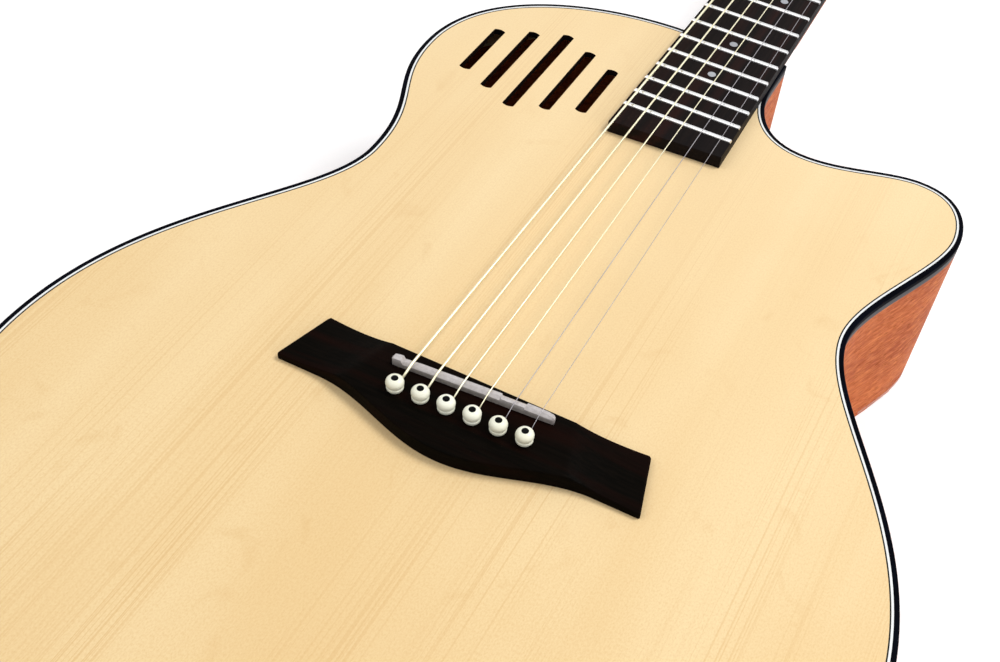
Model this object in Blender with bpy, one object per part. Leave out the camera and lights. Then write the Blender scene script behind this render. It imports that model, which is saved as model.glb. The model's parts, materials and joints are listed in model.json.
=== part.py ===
"""An acoustic-electric steel-string guitar, one object for each piece of the real instrument.

Metres, +Z up. The guitar lies on its back, with the headstock towards +Y and the treble side towards +X.
Lengths along Y are measured from the saddle end of the string scale and heights from the flat of the back.
The datum empty carries every piece, and at the end it centres the guitar on the origin.
"""

from math import atan, cos, floor, pi, radians, sin, tan

import bmesh
import bpy
from mathutils import Matrix, Vector

# Fit between pieces that rest on or in each other, and how far a cutter reaches past what it cuts
GAP = 0.0003
CUTTER_REACH = 0.01
SHARP_ANGLE = radians(38)

# Strings and scale
SCALE_LENGTH = 0.648
FRET_COUNT = 20
BODY_FRET = 14
STRING_SPREAD_AT_PINS = 0.0542
STRING_SPREAD_AT_SADDLE = 0.0533
STRING_SPREAD_AT_NUT = 0.0361
STRING_DIAMETERS = (0.00119, 0.00097, 0.00071, 0.00053, 0.00036, 0.00027)

# Body outline. DOWN is a distance from the neck joint towards the tail
BODY_LENGTH = 0.48965
LOWER_BOUT_WIDTH = 0.3606
LOWER_BOUT_DOWN = 0.33365
WAIST_WIDTH = 0.233
WAIST_DOWN = 0.17065
BASS_BOUT_X = 0.1375
BASS_BOUT_DOWN = 0.08065
SHOULDER_X = 0.030
HORN_BOUT_X = 0.1433
HORN_BOUT_DOWN = 0.08665
HORN_TOP_X = 0.1147
HORN_TOP_DOWN = 0.05355
CUTAWAY_LOW_X = 0.0618
CUTAWAY_LOW_DOWN = 0.06525
CUTAWAY_WALL_X = 0.028
CUTAWAY_WALL_DOWN = 0.02125

# Pulls of the outline's curves, before and after each place on it
TAIL_PULL = 0.100
LOWER_BOUT_PULLS = (0.085, 0.080)
TREBLE_WAIST_PULLS = (0.041, 0.025)
BASS_WAIST_PULLS = (0.041, 0.042)
BASS_BOUT_PULLS = (0.041, 0.056)
SHOULDER_PULL = 0.046
HORN_BOUT_PULLS = (0.023, 0.015)
HORN_TOP_PULLS = (0.022, 0.0155)
CUTAWAY_LOW_PULLS = (0.0196, 0.0255)
CUTAWAY_WALL_PULL = 0.021

# Steps along the outline, and sides of round pieces
EDGE_STEP = 0.024
FINE_EDGE_STEP = 0.004
LEAST_EDGE_PIECES = 5
PATCH_STEPS = 6
FLANGE_STEPS = 8
WEB_STEPS = 2
HEX_SIDES = 6
BORE_SIDES = 8
SMALL_SIDES = 10
ROUND_SIDES = 12
KNOB_SIDES = 14
JACK_SIDES = 16

# Body shell
BODY_DEPTH = 0.090
TOP_THICKNESS = 0.003
BACK_THICKNESS = 0.003
SIDE_THICKNESS = 0.0023
BINDING_HEIGHT = 0.006
PURFLING_WIDTH = 0.0014
LINING_WIDTH = 0.006
LINING_HEIGHT = 0.012

# Sound slots
SLOT_LENGTHS = (0.0396, 0.0551, 0.0697, 0.0551, 0.0401)
SLOT_PITCH = 0.016
SLOT_WIDTH = 0.0060
SLOT_CROWN = 0.001
SLOT_FIRST_X = -0.1101
SLOT_CENTRE_DOWN = 0.07415

# Blocks and bracing
NECK_BLOCK_REACH = 0.032
NECK_BLOCK_BASS_X = -0.032
TAIL_BLOCK_HALF_WIDTH = 0.027
TAIL_BLOCK_REACH = 0.020
TAIL_FACE_SAG = 0.0008
BLOCK_LAP = 0.004
BRACE_WIDTH = 0.007
BRACE_HEIGHT = 0.012
TONE_BAR_WIDTH = 0.0056
TONE_BAR_HEIGHT = 0.0072
BRACE_CROSSING_Y = 0.062
BRACE_SPREAD = 0.622
BRACE_LEG_END_BELOW_BOUT = 0.075
BRACE_BAR_DOWN = 0.12065
BRACE_BAR_HALF_LENGTH = 0.112
UPPER_TONE_BAR_START_Y = -0.022
UPPER_TONE_BAR_END = (-0.066, -0.092)
LOWER_TONE_BAR_UP_LEG = 0.045
LOWER_TONE_BAR_END_X = -0.045
LOWER_TONE_BAR_END_UP_FROM_TAIL = 0.056
BACK_STRIP_WIDTH = 0.014
BACK_STRIP_HEIGHT = 0.0025
BACK_STRIP_UP_FROM_TAIL = 0.029
BACK_STRIP_END_DOWN = 0.05065
TAIL_BRACE = (0.071, 0.112)
BACK_BRACES = ((0.32365, 0.160), (0.20365, 0.104), (0.09865, 0.118))

# Bridge, saddle and pins
BRIDGE_CENTRE_X = -0.0008
BRIDGE_FRONT_Y = 0.0122
BRIDGE_TIP_FRONT_Y = 0.0148
BRIDGE_HALF_WIDTH_FRONT = 0.0707
BRIDGE_HALF_WIDTH_REAR = 0.0780
BRIDGE_CREASE_X_FRONT = 0.0392
BRIDGE_CREASE_X_REAR = 0.0478
BRIDGE_WING_REAR_Y = -0.0122
BRIDGE_BELLY_Y = -0.0258
BRIDGE_HEIGHT = 0.0070
BRIDGE_WING_HEIGHT = 0.0030
BRIDGE_CREASE_SHARE = 0.6
BRIDGE_BELLY_SHARE = 0.75
BRIDGE_SCOOP_CURVE = 2.6
BRIDGE_STATIONS = 4
BRIDGE_CHAMFER = 0.0010
STRING_RAMP_DEPTH = 0.0045
PIN_ROW_Y = -0.0070
PIN_ROW_SLANT = radians(2.0)
PIN_SHANK_RADIUS = 0.0025
PIN_HEAD_RADIUS = 0.0036
PIN_HEAD_HEIGHT = 0.0060
PIN_NECK_RADIUS = 0.0031
PIN_TOP_RADIUS = 0.00145
PIN_TIP_RADIUS = 0.00175
PIN_COLLAR_HEIGHT = 0.0008
PIN_NECK_HEIGHT = 0.0014
PIN_BEAD_HEIGHT = 0.0031
PIN_SHOULDER_HEIGHT = 0.0049
PIN_LENGTH = 0.024
BRIDGE_PLATE_THICKNESS = 0.0025
BRIDGE_PLATE_FRONT_Y = 0.016
BRIDGE_PLATE_REAR_Y = -0.017
SADDLE_CENTRE_X = -0.0019
SADDLE_CENTRE_Y = 0.0058
SADDLE_LENGTH = 0.0681
SADDLE_THICKNESS = 0.003
SADDLE_SLANT = radians(3.5)
SADDLE_TOP = 0.0110
SADDLE_CROWN = 0.0009
SADDLE_SLOT_FLOOR = 0.0015
PICKUP_HEIGHT = 0.0014

# Neck and fretboard
BOARD_THICKNESS = 0.0062
BOARD_WIDTH_AT_NUT = 0.0431
BOARD_WIDTH_AT_LAST_FRET = 0.0562
BOARD_PAST_LAST_FRET = 0.0129
BOARD_END_SLANT = 0.0034
NUT_THICKNESS = 0.0055
NUT_HEIGHT = 0.0094
NUT_SLOT_DROP = 0.0006
NUT_SLOT_DEPTH = 0.0012
NUT_REAR_DROP = 0.0025
NUT_FLAT = 0.0015
FRET_WIDTH = 0.0024
FRET_HEIGHT = 0.0010
FRET_TANG_WIDTH = 0.0006
FRET_TANG_DEPTH = 0.0036
FRET_END_BEVEL = 0.0009
FRET_RAIL_WIDTH = 0.002
FRET_RAIL_HEIGHT = 0.0012
FRET_RAIL_LAP = 0.0004
FRET_RAIL_END = 0.002
FRET_RAIL_END_CLEARANCE = 0.002
NECK_DEPTH_AT_NUT = 0.015
NECK_DEPTH_AT_BODY = 0.018
NECK_FULLNESS = 1.15
NECK_STEPS = 6
NECK_SIDES = 8
NECK_END_STEPS = ((0.006, 0.97, 0.0147), (0.014, 0.9, 0.014))
NECK_END_DROP = 0.0006
HEEL_TOP_HALF_WIDTH = 0.0245
HEEL_FOOT_HALF_WIDTH = 0.0125
HEEL_TOP_LENGTH = 0.045
HEEL_FOOT_LENGTH = 0.020
HEEL_TOP_DEPTH = 0.0078
HEEL_WIDTH_CURVE = 0.8
HEEL_SWEEP_CURVE = 3
HEEL_FULLNESS = 0.8
HEEL_STATIONS = (0, 0.3, 0.55, 0.75, 0.9, 1)
HEEL_CAP_THICKNESS = 0.002
HEEL_CAP_LIFT = 0.001
TENON_HALF_WIDTH = 0.008
TENON_LENGTH = 0.018
TENON_LAP = 0.004

# Truss rod
ROD_CHANNEL_WIDTH = 0.006
ROD_CHANNEL_DEPTH = 0.009
ROD_START_PAST_JOINT = 0.01635
ROD_NUT_RADIUS = 0.003
ROD_NUT_LENGTH = 0.009
ROD_NUT_FROM_HEAD = 0.0029
ROD_NUT_DEPTH = 0.0055
ROD_END_RADIUS = 0.0012
ROD_END_HALF_LENGTH = 0.004
ROD_THREAD_CLEARANCE = 0.0004
ROD_CHANNEL_PAST_NUT = 0.002
ROD_POCKET_START = 0.0015
ROD_POCKET_EXTRA_DEPTH = 0.001
ROD_POCKET_LENGTH = 0.018
ROD_POCKET_HALF_WIDTH = 0.0048
ROD_COVER_LENGTH = 0.030
ROD_COVER_HALF_WIDTH = 0.009
ROD_COVER_THICKNESS = 0.0015
ROD_COVER_START = 0.001
ROD_COVER_SHAPE = ((0, 1), (0.35, 1), (0.7, 0.55), (1, 0.3))

# Headstock and tuners
HEAD_TILT = radians(14)
HEAD_LENGTH = 0.182
HEAD_THICKNESS = 0.0145
VENEER_THICKNESS = 0.0015
HEAD_HALF_WIDTHS = (
    (0.000, 0.0212), (0.010, 0.0236), (0.022, 0.0305), (0.036, 0.0335), (0.100, 0.0352),
)
HEAD_TIP_HALF_WIDTHS = ((0.022, 0.0368), (0.009, 0.0352), (0.003, 0.0250))
POST_RADIUS = 0.003
POST_CLEARANCE = 0.0004
POST_HEIGHT = 0.0165
POST_RIM = 0.0006
POST_RIM_HEIGHTS = (0.0025, 0.0018, 0.0008)
POST_TOP_RADIUS = 0.0024
POST_X = 0.0235
POST_FIRST_U = 0.047
POST_PITCH = 0.041
TUNER_PLATE_THICKNESS = 0.0012
TUNER_PLATE_HALF_WIDTH = 0.0075
TUNER_PLATE_BEFORE = 0.010
TUNER_PLATE_AFTER = 0.018
GEAR_RADIUS = 0.0056
GEAR_THICKNESS = 0.0030
WORM_RADIUS = 0.0026
WORM_HALF_LENGTH = 0.0038
WORM_SHAFT_RADIUS = 0.0013
WORM_BRACKET_THICKNESS = 0.0018
WORM_BRACKET_HALF_WIDTH = 0.0030
WORM_BRACKET_WALL = 0.0018
BUTTON_CLEAR_OF_HEAD = 0.006
BUTTON_LENGTH = 0.016
BUTTON_HALF_WIDTH = 0.0085
BUTTON_HALF_THICKNESS = 0.0040
BUTTON_SHAPE = ((0, 0.35), (0.18, 0.65), (0.45, 0.98), (0.85, 0.9), (1.0, 0.5))
BUTTON_FULLNESS = 0.6
BUTTON_SHAFT_LAP = 0.001
WINDING_START = 0.0125
WINDING_LOOPS = 1.5
WINDING_POINTS = 24
WINDING_GAP = 0.00045
STRING_REACH_INTO_BRIDGE = 0.004
STRING_RISE_AT_PIN = 0.0004
THICKEST_PLAIN_STRING = 0.0005

# Preamp in the bass side
PREAMP_HALF_LENGTH = 0.026
PREAMP_HALF_HEIGHT = 0.013
PREAMP_DEPTH = 0.024
PREAMP_FLANGE = 0.0045
PREAMP_PLATE = 0.002
KNOB_SPACING = 0.0155
KNOB_RADIUS = 0.0052
KNOB_HEIGHT = 0.0065
KNOB_STEM_RADIUS = 0.0015
KNOB_STEM_LENGTH = 0.006
KNOB_SIDE_RADIUS = 0.0047
KNOB_TOP_RADIUS = 0.0042
KNOB_ROUNDING = 0.0006
PHASE_BUTTON_RADIUS = 0.003
PHASE_BUTTON_TRAVEL = 0.0015
PHASE_BUTTON_DEPTH = 0.0025
PHASE_BUTTON_PROUD = 0.0007
PHASE_BUTTON_TOP_RADIUS = 0.0024
PHASE_BUTTON_ROUNDING = 0.0004

# Battery box at the tail
BATTERY_LENGTH = 0.0485
BATTERY_WIDTH = 0.0265
BATTERY_DEPTH = 0.0175
BATTERY_BOX_WALL = 0.0012
BATTERY_FLANGE = 0.003
BATTERY_FLANGE_THICKNESS = 0.002
BATTERY_DOOR_THICKNESS = 0.0018
BATTERY_CENTRE_FROM_TAIL = 0.064
HINGE_RADIUS = 0.0016
HINGE_BARREL_HALF_LENGTH = 0.0099
HINGE_WEB_HALF_WIDTH = 0.0011
HINGE_LEAF_LAP = 0.002
HINGE_LEAF_INNER = 0.001
HINGE_LEAF_OUTER = 0.0016

# Output jack and end pin
JACK_BARREL_RADIUS = 0.0055
JACK_BORE_RADIUS = 0.0033
JACK_COLLAR_RADIUS = 0.0085
JACK_WAIST_RADIUS = 0.0062
JACK_PROUD = 0.015
JACK_INSIDE = 0.032
JACK_COLLAR_THICKNESS = 0.002
JACK_TAPER = 0.002
JACK_END_FLARE = 0.005
JACK_END_CHAMFER = 0.002
JACK_END_RADIUS = 0.0077
JACK_TIP_RADIUS = 0.0068
JACK_CUTTER_DEPTH = 0.06

# Finishes: colour, roughness and metallic share
SPRUCE = ((0.86, 0.69, 0.42), 0.45, 0)
INNER_SPRUCE = ((0.80, 0.66, 0.45), 0.6, 0)
MAHOGANY = ((0.40, 0.17, 0.08), 0.4, 0)
EBONY = ((0.02, 0.016, 0.014), 0.35, 0)
BLACK_PLASTIC = ((0.015, 0.015, 0.017), 0.45, 0)
CREAM = ((0.85, 0.82, 0.72), 0.35, 0)
IVORY = ((0.87, 0.84, 0.74), 0.35, 0)
BRONZE = ((0.75, 0.60, 0.36), 0.3, 1)
STEEL = ((0.62, 0.62, 0.62), 0.35, 1)
NICKEL = ((0.72, 0.71, 0.68), 0.3, 1)

# Heights and places that follow from the sizes above
TOP_Z = BODY_DEPTH
TOP_UNDERSIDE = TOP_Z - TOP_THICKNESS
SHELL_INSET = SIDE_THICKNESS + GAP
TOP_INSET = SHELL_INSET + PURFLING_WIDTH + GAP
LINING_INSET = SHELL_INSET + LINING_WIDTH
JOINT_Y = SCALE_LENGTH * 2 ** (-BODY_FRET / 12)
LAST_FRET_Y = SCALE_LENGTH * 2 ** (-FRET_COUNT / 12)
BOARD_END_Y = LAST_FRET_Y - BOARD_PAST_LAST_FRET
ROD_START_Y = JOINT_Y + ROD_START_PAST_JOINT
TAIL_Y = JOINT_Y - BODY_LENGTH
LOWER_BOUT_Y = JOINT_Y - LOWER_BOUT_DOWN
WAIST_Y = JOINT_Y - WAIST_DOWN
BASS_BOUT_Y = JOINT_Y - BASS_BOUT_DOWN
HORN_BOUT_Y = JOINT_Y - HORN_BOUT_DOWN
HORN_TOP_Y = JOINT_Y - HORN_TOP_DOWN
CUTAWAY_LOW_Y = JOINT_Y - CUTAWAY_LOW_DOWN
CUTAWAY_WALL_Y = JOINT_Y - CUTAWAY_WALL_DOWN
SLOT_CENTRE_Y = JOINT_Y - SLOT_CENTRE_DOWN
BRACE_LEG_END_Y = LOWER_BOUT_Y - BRACE_LEG_END_BELOW_BOUT
BRACE_BAR_Y = JOINT_Y - BRACE_BAR_DOWN
HEAD_TIP_EDGE = tuple((HEAD_LENGTH - down, half_width) for down, half_width in HEAD_TIP_HALF_WIDTHS)
HEAD_EDGE = HEAD_HALF_WIDTHS + HEAD_TIP_EDGE
BOARD_BOTTOM = TOP_Z + GAP
BOARD_TOP = BOARD_BOTTOM + BOARD_THICKNESS
BRIDGE_BOTTOM = TOP_Z + GAP
BRIDGE_TOP = BRIDGE_BOTTOM + BRIDGE_HEIGHT
STRING_ZS = (TOP_Z + SADDLE_TOP + GAP, TOP_Z + NUT_HEIGHT - NUT_SLOT_DEPTH)
HEAD_Y = SCALE_LENGTH + NUT_THICKNESS + GAP
HEAD_FRAME = Matrix.Translation((0, HEAD_Y, TOP_Z)) @ Matrix.Rotation(-HEAD_TILT, 4, "X")
BELOW_HEAD = -HEAD_THICKNESS - GAP
BELOW_PLATE = BELOW_HEAD - TUNER_PLATE_THICKNESS
WORM_AXIS_DEPTH = BELOW_PLATE - GAP - WORM_RADIUS
GEAR_TOP = WORM_AXIS_DEPTH + GEAR_THICKNESS / 2
WORM_OFFSET = GEAR_RADIUS + WORM_RADIUS + GAP
ROD_AXIS_Z = TOP_Z - ROD_NUT_DEPTH
MIDDLE_Z = BODY_DEPTH / 2

UP = Vector((0, 0, 1))


# Shared building steps

def clear_scene():
    for item in list(bpy.data.objects):
        bpy.data.objects.remove(item)


def finish(item, look):
    """Gives the piece its own material and hangs it on the datum."""
    colour, roughness, metallic = look
    material = bpy.data.materials.new(item.name + "_finish")
    material.use_nodes = True
    shader = material.node_tree.nodes["Principled BSDF"]
    shader.inputs["Base Color"].default_value = (*colour, 1.0)
    shader.inputs["Roughness"].default_value = roughness
    shader.inputs["Metallic"].default_value = metallic
    item.data.materials.clear()
    item.data.materials.append(material)
    item.parent = bpy.data.objects["guitar_datum"]
    return item


def new_object(name, bm):
    bmesh.ops.recalc_face_normals(bm, faces=bm.faces)
    mesh = bpy.data.meshes.new(name)
    bm.to_mesh(mesh)
    bm.free()
    item = bpy.data.objects.new(name, mesh)
    bpy.context.scene.collection.objects.link(item)
    return item


def loft(name, sections):
    """A solid through closed sections that have the same number of points."""
    bm = bmesh.new()
    rings = [[bm.verts.new(point) for point in section] for section in sections]
    for ring, following in zip(rings, rings[1:]):
        for i, corner in enumerate(ring):
            j = (i + 1) % len(ring)
            bm.faces.new((corner, ring[j], following[j], following[i]))
    bm.faces.new(rings[0])
    bm.faces.new(rings[-1])
    return new_object(name, bm)


def prism(name, outline, bottom, top):
    """A flat outline raised from one height to another."""
    return loft(name, [[(x, y, z) for x, y in outline] for z in (bottom, top)])


def box(name, low, high):
    outline = ((low[0], low[1]), (high[0], low[1]), (high[0], high[1]), (low[0], high[1]))
    return prism(name, outline, low[2], high[2])


def band(name, outer, inner, bottom, top, closed=True):
    """A wall between two level outlines that have the same number of points."""
    bm = bmesh.new()
    levels = ((outer, bottom), (outer, top), (inner, top), (inner, bottom))
    rows = [[bm.verts.new((x, y, z)) for x, y in path] for path, z in levels]
    count = len(outer)
    for i in range(count if closed else count - 1):
        j = (i + 1) % count
        for row, following in zip(rows, rows[1:] + rows[:1]):
            bm.faces.new((row[i], row[j], following[j], following[i]))
    if not closed:
        bm.faces.new([row[0] for row in rows])
        bm.faces.new([row[-1] for row in rows])
    return new_object(name, bm)


def turned(name, profile, frame, sides):
    """A turned piece. The profile lists radius and height along the frame's Z axis."""
    sections = []
    for radius, height in profile:
        angles = (2 * pi * i / sides for i in range(sides))
        sections.append([frame @ Vector((radius * cos(a), radius * sin(a), height)) for a in angles])
    item = loft(name, sections)
    item.data.shade_smooth()
    item.data.set_sharp_from_angle(angle=SHARP_ANGLE)
    return item


def axis_frame(point, direction):
    """A frame at the point whose Z axis runs along the direction."""
    return Matrix.Translation(point) @ Vector(direction).to_track_quat("Z", "Y").to_matrix().to_4x4()


def combine(target, tool, operation):
    """Joins the tool to the target, or cuts it out, and removes the tool."""
    modifier = target.modifiers.new("fit", "BOOLEAN")
    modifier.operation = operation
    modifier.solver = "EXACT"
    modifier.object = tool
    graph = bpy.context.evaluated_depsgraph_get()
    mesh = bpy.data.meshes.new_from_object(target.evaluated_get(graph))
    target.modifiers.clear()
    target.data = mesh
    bpy.data.objects.remove(tool)


def cut(target, tool):
    combine(target, tool, "DIFFERENCE")


def weld(target, tool):
    combine(target, tool, "UNION")


def pivot(item, point):
    """Moves the piece's origin to a point on its joint axis."""
    item.data.transform(Matrix.Translation(-Vector(point)))
    item.location = point


# Outline of the body

def edge_path(knots, step):
    """Points along the edge. A knot is its place, its direction, and its pull before and after."""
    points = []
    for (start, heading, _, reach), (end, arrival, pull, _) in zip(knots, knots[1:]):
        corners = (
            Vector(start),
            Vector(start) + Vector(heading) * reach,
            Vector(end) - Vector(arrival) * pull,
            Vector(end),
        )
        count = max(LEAST_EDGE_PIECES, round((corners[3] - corners[0]).length / step))
        for i in range(count):
            t = i / count
            weights = ((1 - t) ** 3, 3 * t * (1 - t) ** 2, 3 * t * t * (1 - t), t ** 3)
            points.append(sum((w * c for w, c in zip(weights, corners)), Vector((0, 0))))
    points.append(Vector(knots[-1][0]))
    return points


def treble_knots():
    up, left, right = (0, 1), (-1, 0), (1, 0)
    return (
        ((0, TAIL_Y), right, 0, TAIL_PULL),
        ((LOWER_BOUT_WIDTH / 2, LOWER_BOUT_Y), up, *LOWER_BOUT_PULLS),
        ((WAIST_WIDTH / 2, WAIST_Y), up, *TREBLE_WAIST_PULLS),
        ((HORN_BOUT_X, HORN_BOUT_Y), up, *HORN_BOUT_PULLS),
        ((HORN_TOP_X, HORN_TOP_Y), left, *HORN_TOP_PULLS),
        ((CUTAWAY_LOW_X, CUTAWAY_LOW_Y), left, *CUTAWAY_LOW_PULLS),
        ((CUTAWAY_WALL_X, CUTAWAY_WALL_Y), up, CUTAWAY_WALL_PULL, 0),
    )


def bass_knots():
    up, left, right = (0, 1), (-1, 0), (1, 0)
    return (
        ((0, TAIL_Y), left, 0, TAIL_PULL),
        ((-LOWER_BOUT_WIDTH / 2, LOWER_BOUT_Y), up, *LOWER_BOUT_PULLS),
        ((-WAIST_WIDTH / 2, WAIST_Y), up, *BASS_WAIST_PULLS),
        ((-BASS_BOUT_X, BASS_BOUT_Y), up, *BASS_BOUT_PULLS),
        ((-SHOULDER_X, JOINT_Y), right, SHOULDER_PULL, 0),
    )


def tenon_gate():
    """Half the width of the opening that the neck's tenon passes through."""
    return TENON_HALF_WIDTH + GAP


def treble_edge():
    corner = Vector((CUTAWAY_WALL_X, JOINT_Y))
    return edge_path(treble_knots(), EDGE_STEP) + [corner, Vector((tenon_gate(), JOINT_Y))]


def bass_edge():
    return edge_path(bass_knots(), EDGE_STEP) + [Vector((-tenon_gate(), JOINT_Y))]


def body_outline(inset=0.0):
    """The closed outline, counter-clockwise from the tail, moved inwards by the inset."""
    points = treble_edge() + list(reversed(bass_edge()[1:]))
    moved = []
    for i, here in enumerate(points):
        before = (here - points[i - 1]).normalized()
        after = (points[(i + 1) % len(points)] - here).normalized()
        first = Vector((-before.y, before.x))
        second = Vector((-after.y, after.x))
        middle = (first + second).normalized()
        moved.append(here + middle * (inset / middle.dot(first)))
    return moved


def walk(path, distance):
    """The place this far along a path from the tail up the bass side, and its outward direction."""
    left = distance
    for start, end in zip(path, path[1:]):
        stretch = end - start
        if left <= stretch.length:
            break
        left -= stretch.length
    heading = stretch.normalized()
    return start + heading * left, Vector((-heading.y, heading.x))


def path_length(path):
    return sum((end - start).length for start, end in zip(path, path[1:]))


def rim_patch(name, span, heights, lifts, steps=PATCH_STEPS):
    """A plate that follows the bass edge. Lifts are measured outwards from the edge."""
    path = edge_path(bass_knots(), FINE_EDGE_STEP)
    places = [walk(path, span[0] + (span[1] - span[0]) * i / steps) for i in range(steps + 1)]
    outer = [point + normal * lifts[1] for point, normal in places]
    inner = [point + normal * lifts[0] for point, normal in places]
    return band(name, outer, inner, heights[0], heights[1], closed=False)


def rim_frame(distance, height, lift=0.0):
    """A frame on the bass edge whose Z axis points out of the body."""
    point, normal = walk(edge_path(bass_knots(), FINE_EDGE_STEP), distance)
    place = point + normal * lift
    return axis_frame((place.x, place.y, height), (normal.x, normal.y, 0))


# Body shell

def make_soundboard():
    top = prism("soundboard", body_outline(TOP_INSET), TOP_UNDERSIDE, TOP_Z)
    for number, length in enumerate(SLOT_LENGTHS):
        x = SLOT_FIRST_X + number * SLOT_PITCH
        shares = (-1, -0.5, 0, 0.5, 1)
        far_end = [(x + s * SLOT_WIDTH / 2, SLOT_CENTRE_Y + length / 2 - SLOT_CROWN * s * s) for s in shares]
        near_end = [(px, 2 * SLOT_CENTRE_Y - py) for px, py in far_end]
        outline = near_end + list(reversed(far_end))
        cut(top, prism("slot", outline, TOP_UNDERSIDE - CUTTER_REACH, TOP_Z + CUTTER_REACH))
    for x in pin_xs():
        cut(top, pin_bore(x))
    return finish(top, SPRUCE)


def make_back_panel():
    back = prism("back_panel", body_outline(SHELL_INSET), 0, BACK_THICKNESS)
    return finish(back, MAHOGANY)


def make_sides():
    outer = body_outline()
    inner = body_outline(SIDE_THICKNESS)
    low, high = BINDING_HEIGHT + GAP, TOP_Z - BINDING_HEIGHT - GAP
    split = len(treble_edge())
    treble = [points[:split] for points in (outer, inner)]
    bass = [points[split:] + [points[0].copy()] for points in (outer, inner)]
    for points in treble:
        points[0] = Vector((GAP / 2, points[0].y))
    for points in bass:
        points[-1] = Vector((-GAP / 2, points[-1].y))
    side_treble = band("side_treble", treble[0], treble[1], low, high, closed=False)
    side_bass = band("side_bass", bass[0], bass[1], low, high, closed=False)
    cut(side_bass, preamp_block("preamp_opening", GAP, CUTTER_REACH))
    cut(side_bass, battery_block("battery_opening", BATTERY_BOX_WALL + 2 * GAP, CUTTER_REACH))
    for side in (side_bass, side_treble):
        cut(side, jack_bore())
        finish(side, MAHOGANY)


def make_trim():
    """Bindings, purfling and linings: bands that follow the outline."""
    outer, inner = body_outline(), body_outline(SIDE_THICKNESS)
    top_binding = band("top_binding", outer, inner, TOP_Z - BINDING_HEIGHT, TOP_Z)
    finish(top_binding, BLACK_PLASTIC)
    finish(band("back_binding", outer, inner, 0, BINDING_HEIGHT), MAHOGANY)
    purfling_outer, purfling_inner = body_outline(SHELL_INSET), body_outline(SHELL_INSET + PURFLING_WIDTH)
    purfling = band("top_purfling", purfling_outer, purfling_inner, TOP_UNDERSIDE + GAP, TOP_Z)
    finish(purfling, CREAM)
    lining_outer, lining_inner = body_outline(SHELL_INSET), body_outline(LINING_INSET)
    top_low, top_high = top_lining_heights()
    finish(band("top_lining", lining_outer, lining_inner, top_low, top_high), INNER_SPRUCE)
    back_low, back_high = back_lining_heights()
    finish(band("back_lining", lining_outer, lining_inner, back_low, back_high), INNER_SPRUCE)


def top_lining_heights():
    return TOP_UNDERSIDE - GAP - LINING_HEIGHT, TOP_UNDERSIDE - GAP


def back_lining_heights():
    return BACK_THICKNESS + GAP, BACK_THICKNESS + GAP + LINING_HEIGHT


# Blocks and bracing

def make_neck_block():
    """The block behind the neck, stepped back where the linings pass it."""
    high_x = CUTAWAY_WALL_X - LINING_INSET - GAP
    rear = JOINT_Y - NECK_BLOCK_REACH
    front = JOINT_Y - SHELL_INSET
    stepped = JOINT_Y - LINING_INSET - GAP
    top, bottom = TOP_UNDERSIDE - GAP, BACK_THICKNESS + GAP
    low, high = back_lining_heights()[1] + GAP, top_lining_heights()[0] - GAP
    block = box("neck_block", (NECK_BLOCK_BASS_X, rear, bottom), (high_x, stepped, top))
    weld(block, box("face", (NECK_BLOCK_BASS_X, stepped - BLOCK_LAP, low), (high_x, front, high)))
    reach = TENON_LENGTH + GAP
    gate = tenon_gate()
    foot, head = tenon_heights()
    cut(block, box("mortise", (-gate, JOINT_Y - reach, foot - GAP), (gate, JOINT_Y, head + GAP)))
    return finish(block, MAHOGANY)


def tail_outline(inset, reach):
    """The tail block's outline: its outer face follows the side at the given inset."""
    path = edge_path(bass_knots(), FINE_EDGE_STEP)
    half = []
    for share in (0.0, 0.5, 1.0):
        point, normal = walk(path, TAIL_BLOCK_HALF_WIDTH * share)
        half.append(point - normal * inset)
    outer = [(-p.x, p.y) for p in reversed(half[1:])] + [(p.x, p.y) for p in half]
    inner_y = TAIL_Y + reach
    return outer + [(half[-1].x, inner_y), (-half[-1].x, inner_y)]


def make_tail_block():
    top, bottom = TOP_UNDERSIDE - GAP, BACK_THICKNESS + GAP
    low, high = back_lining_heights()[1] + GAP, top_lining_heights()[0] - GAP
    outline = tail_outline(LINING_INSET + GAP + TAIL_FACE_SAG, TAIL_BLOCK_REACH)
    block = prism("tail_block", outline, bottom, top)
    face = tail_outline(SHELL_INSET + TAIL_FACE_SAG / 2, TAIL_BLOCK_REACH - BLOCK_LAP)
    weld(block, prism("face", face, low, high))
    cut(block, jack_bore())
    return finish(block, MAHOGANY)


def bar(name, start, end, width, bottom, top):
    """A straight bar in plan."""
    a, b = Vector(start), Vector(end)
    along = (b - a).normalized()
    across = Vector((-along.y, along.x)) * width / 2
    return prism(name, (a - across, b - across, b + across, a + across), bottom, top)


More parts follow.
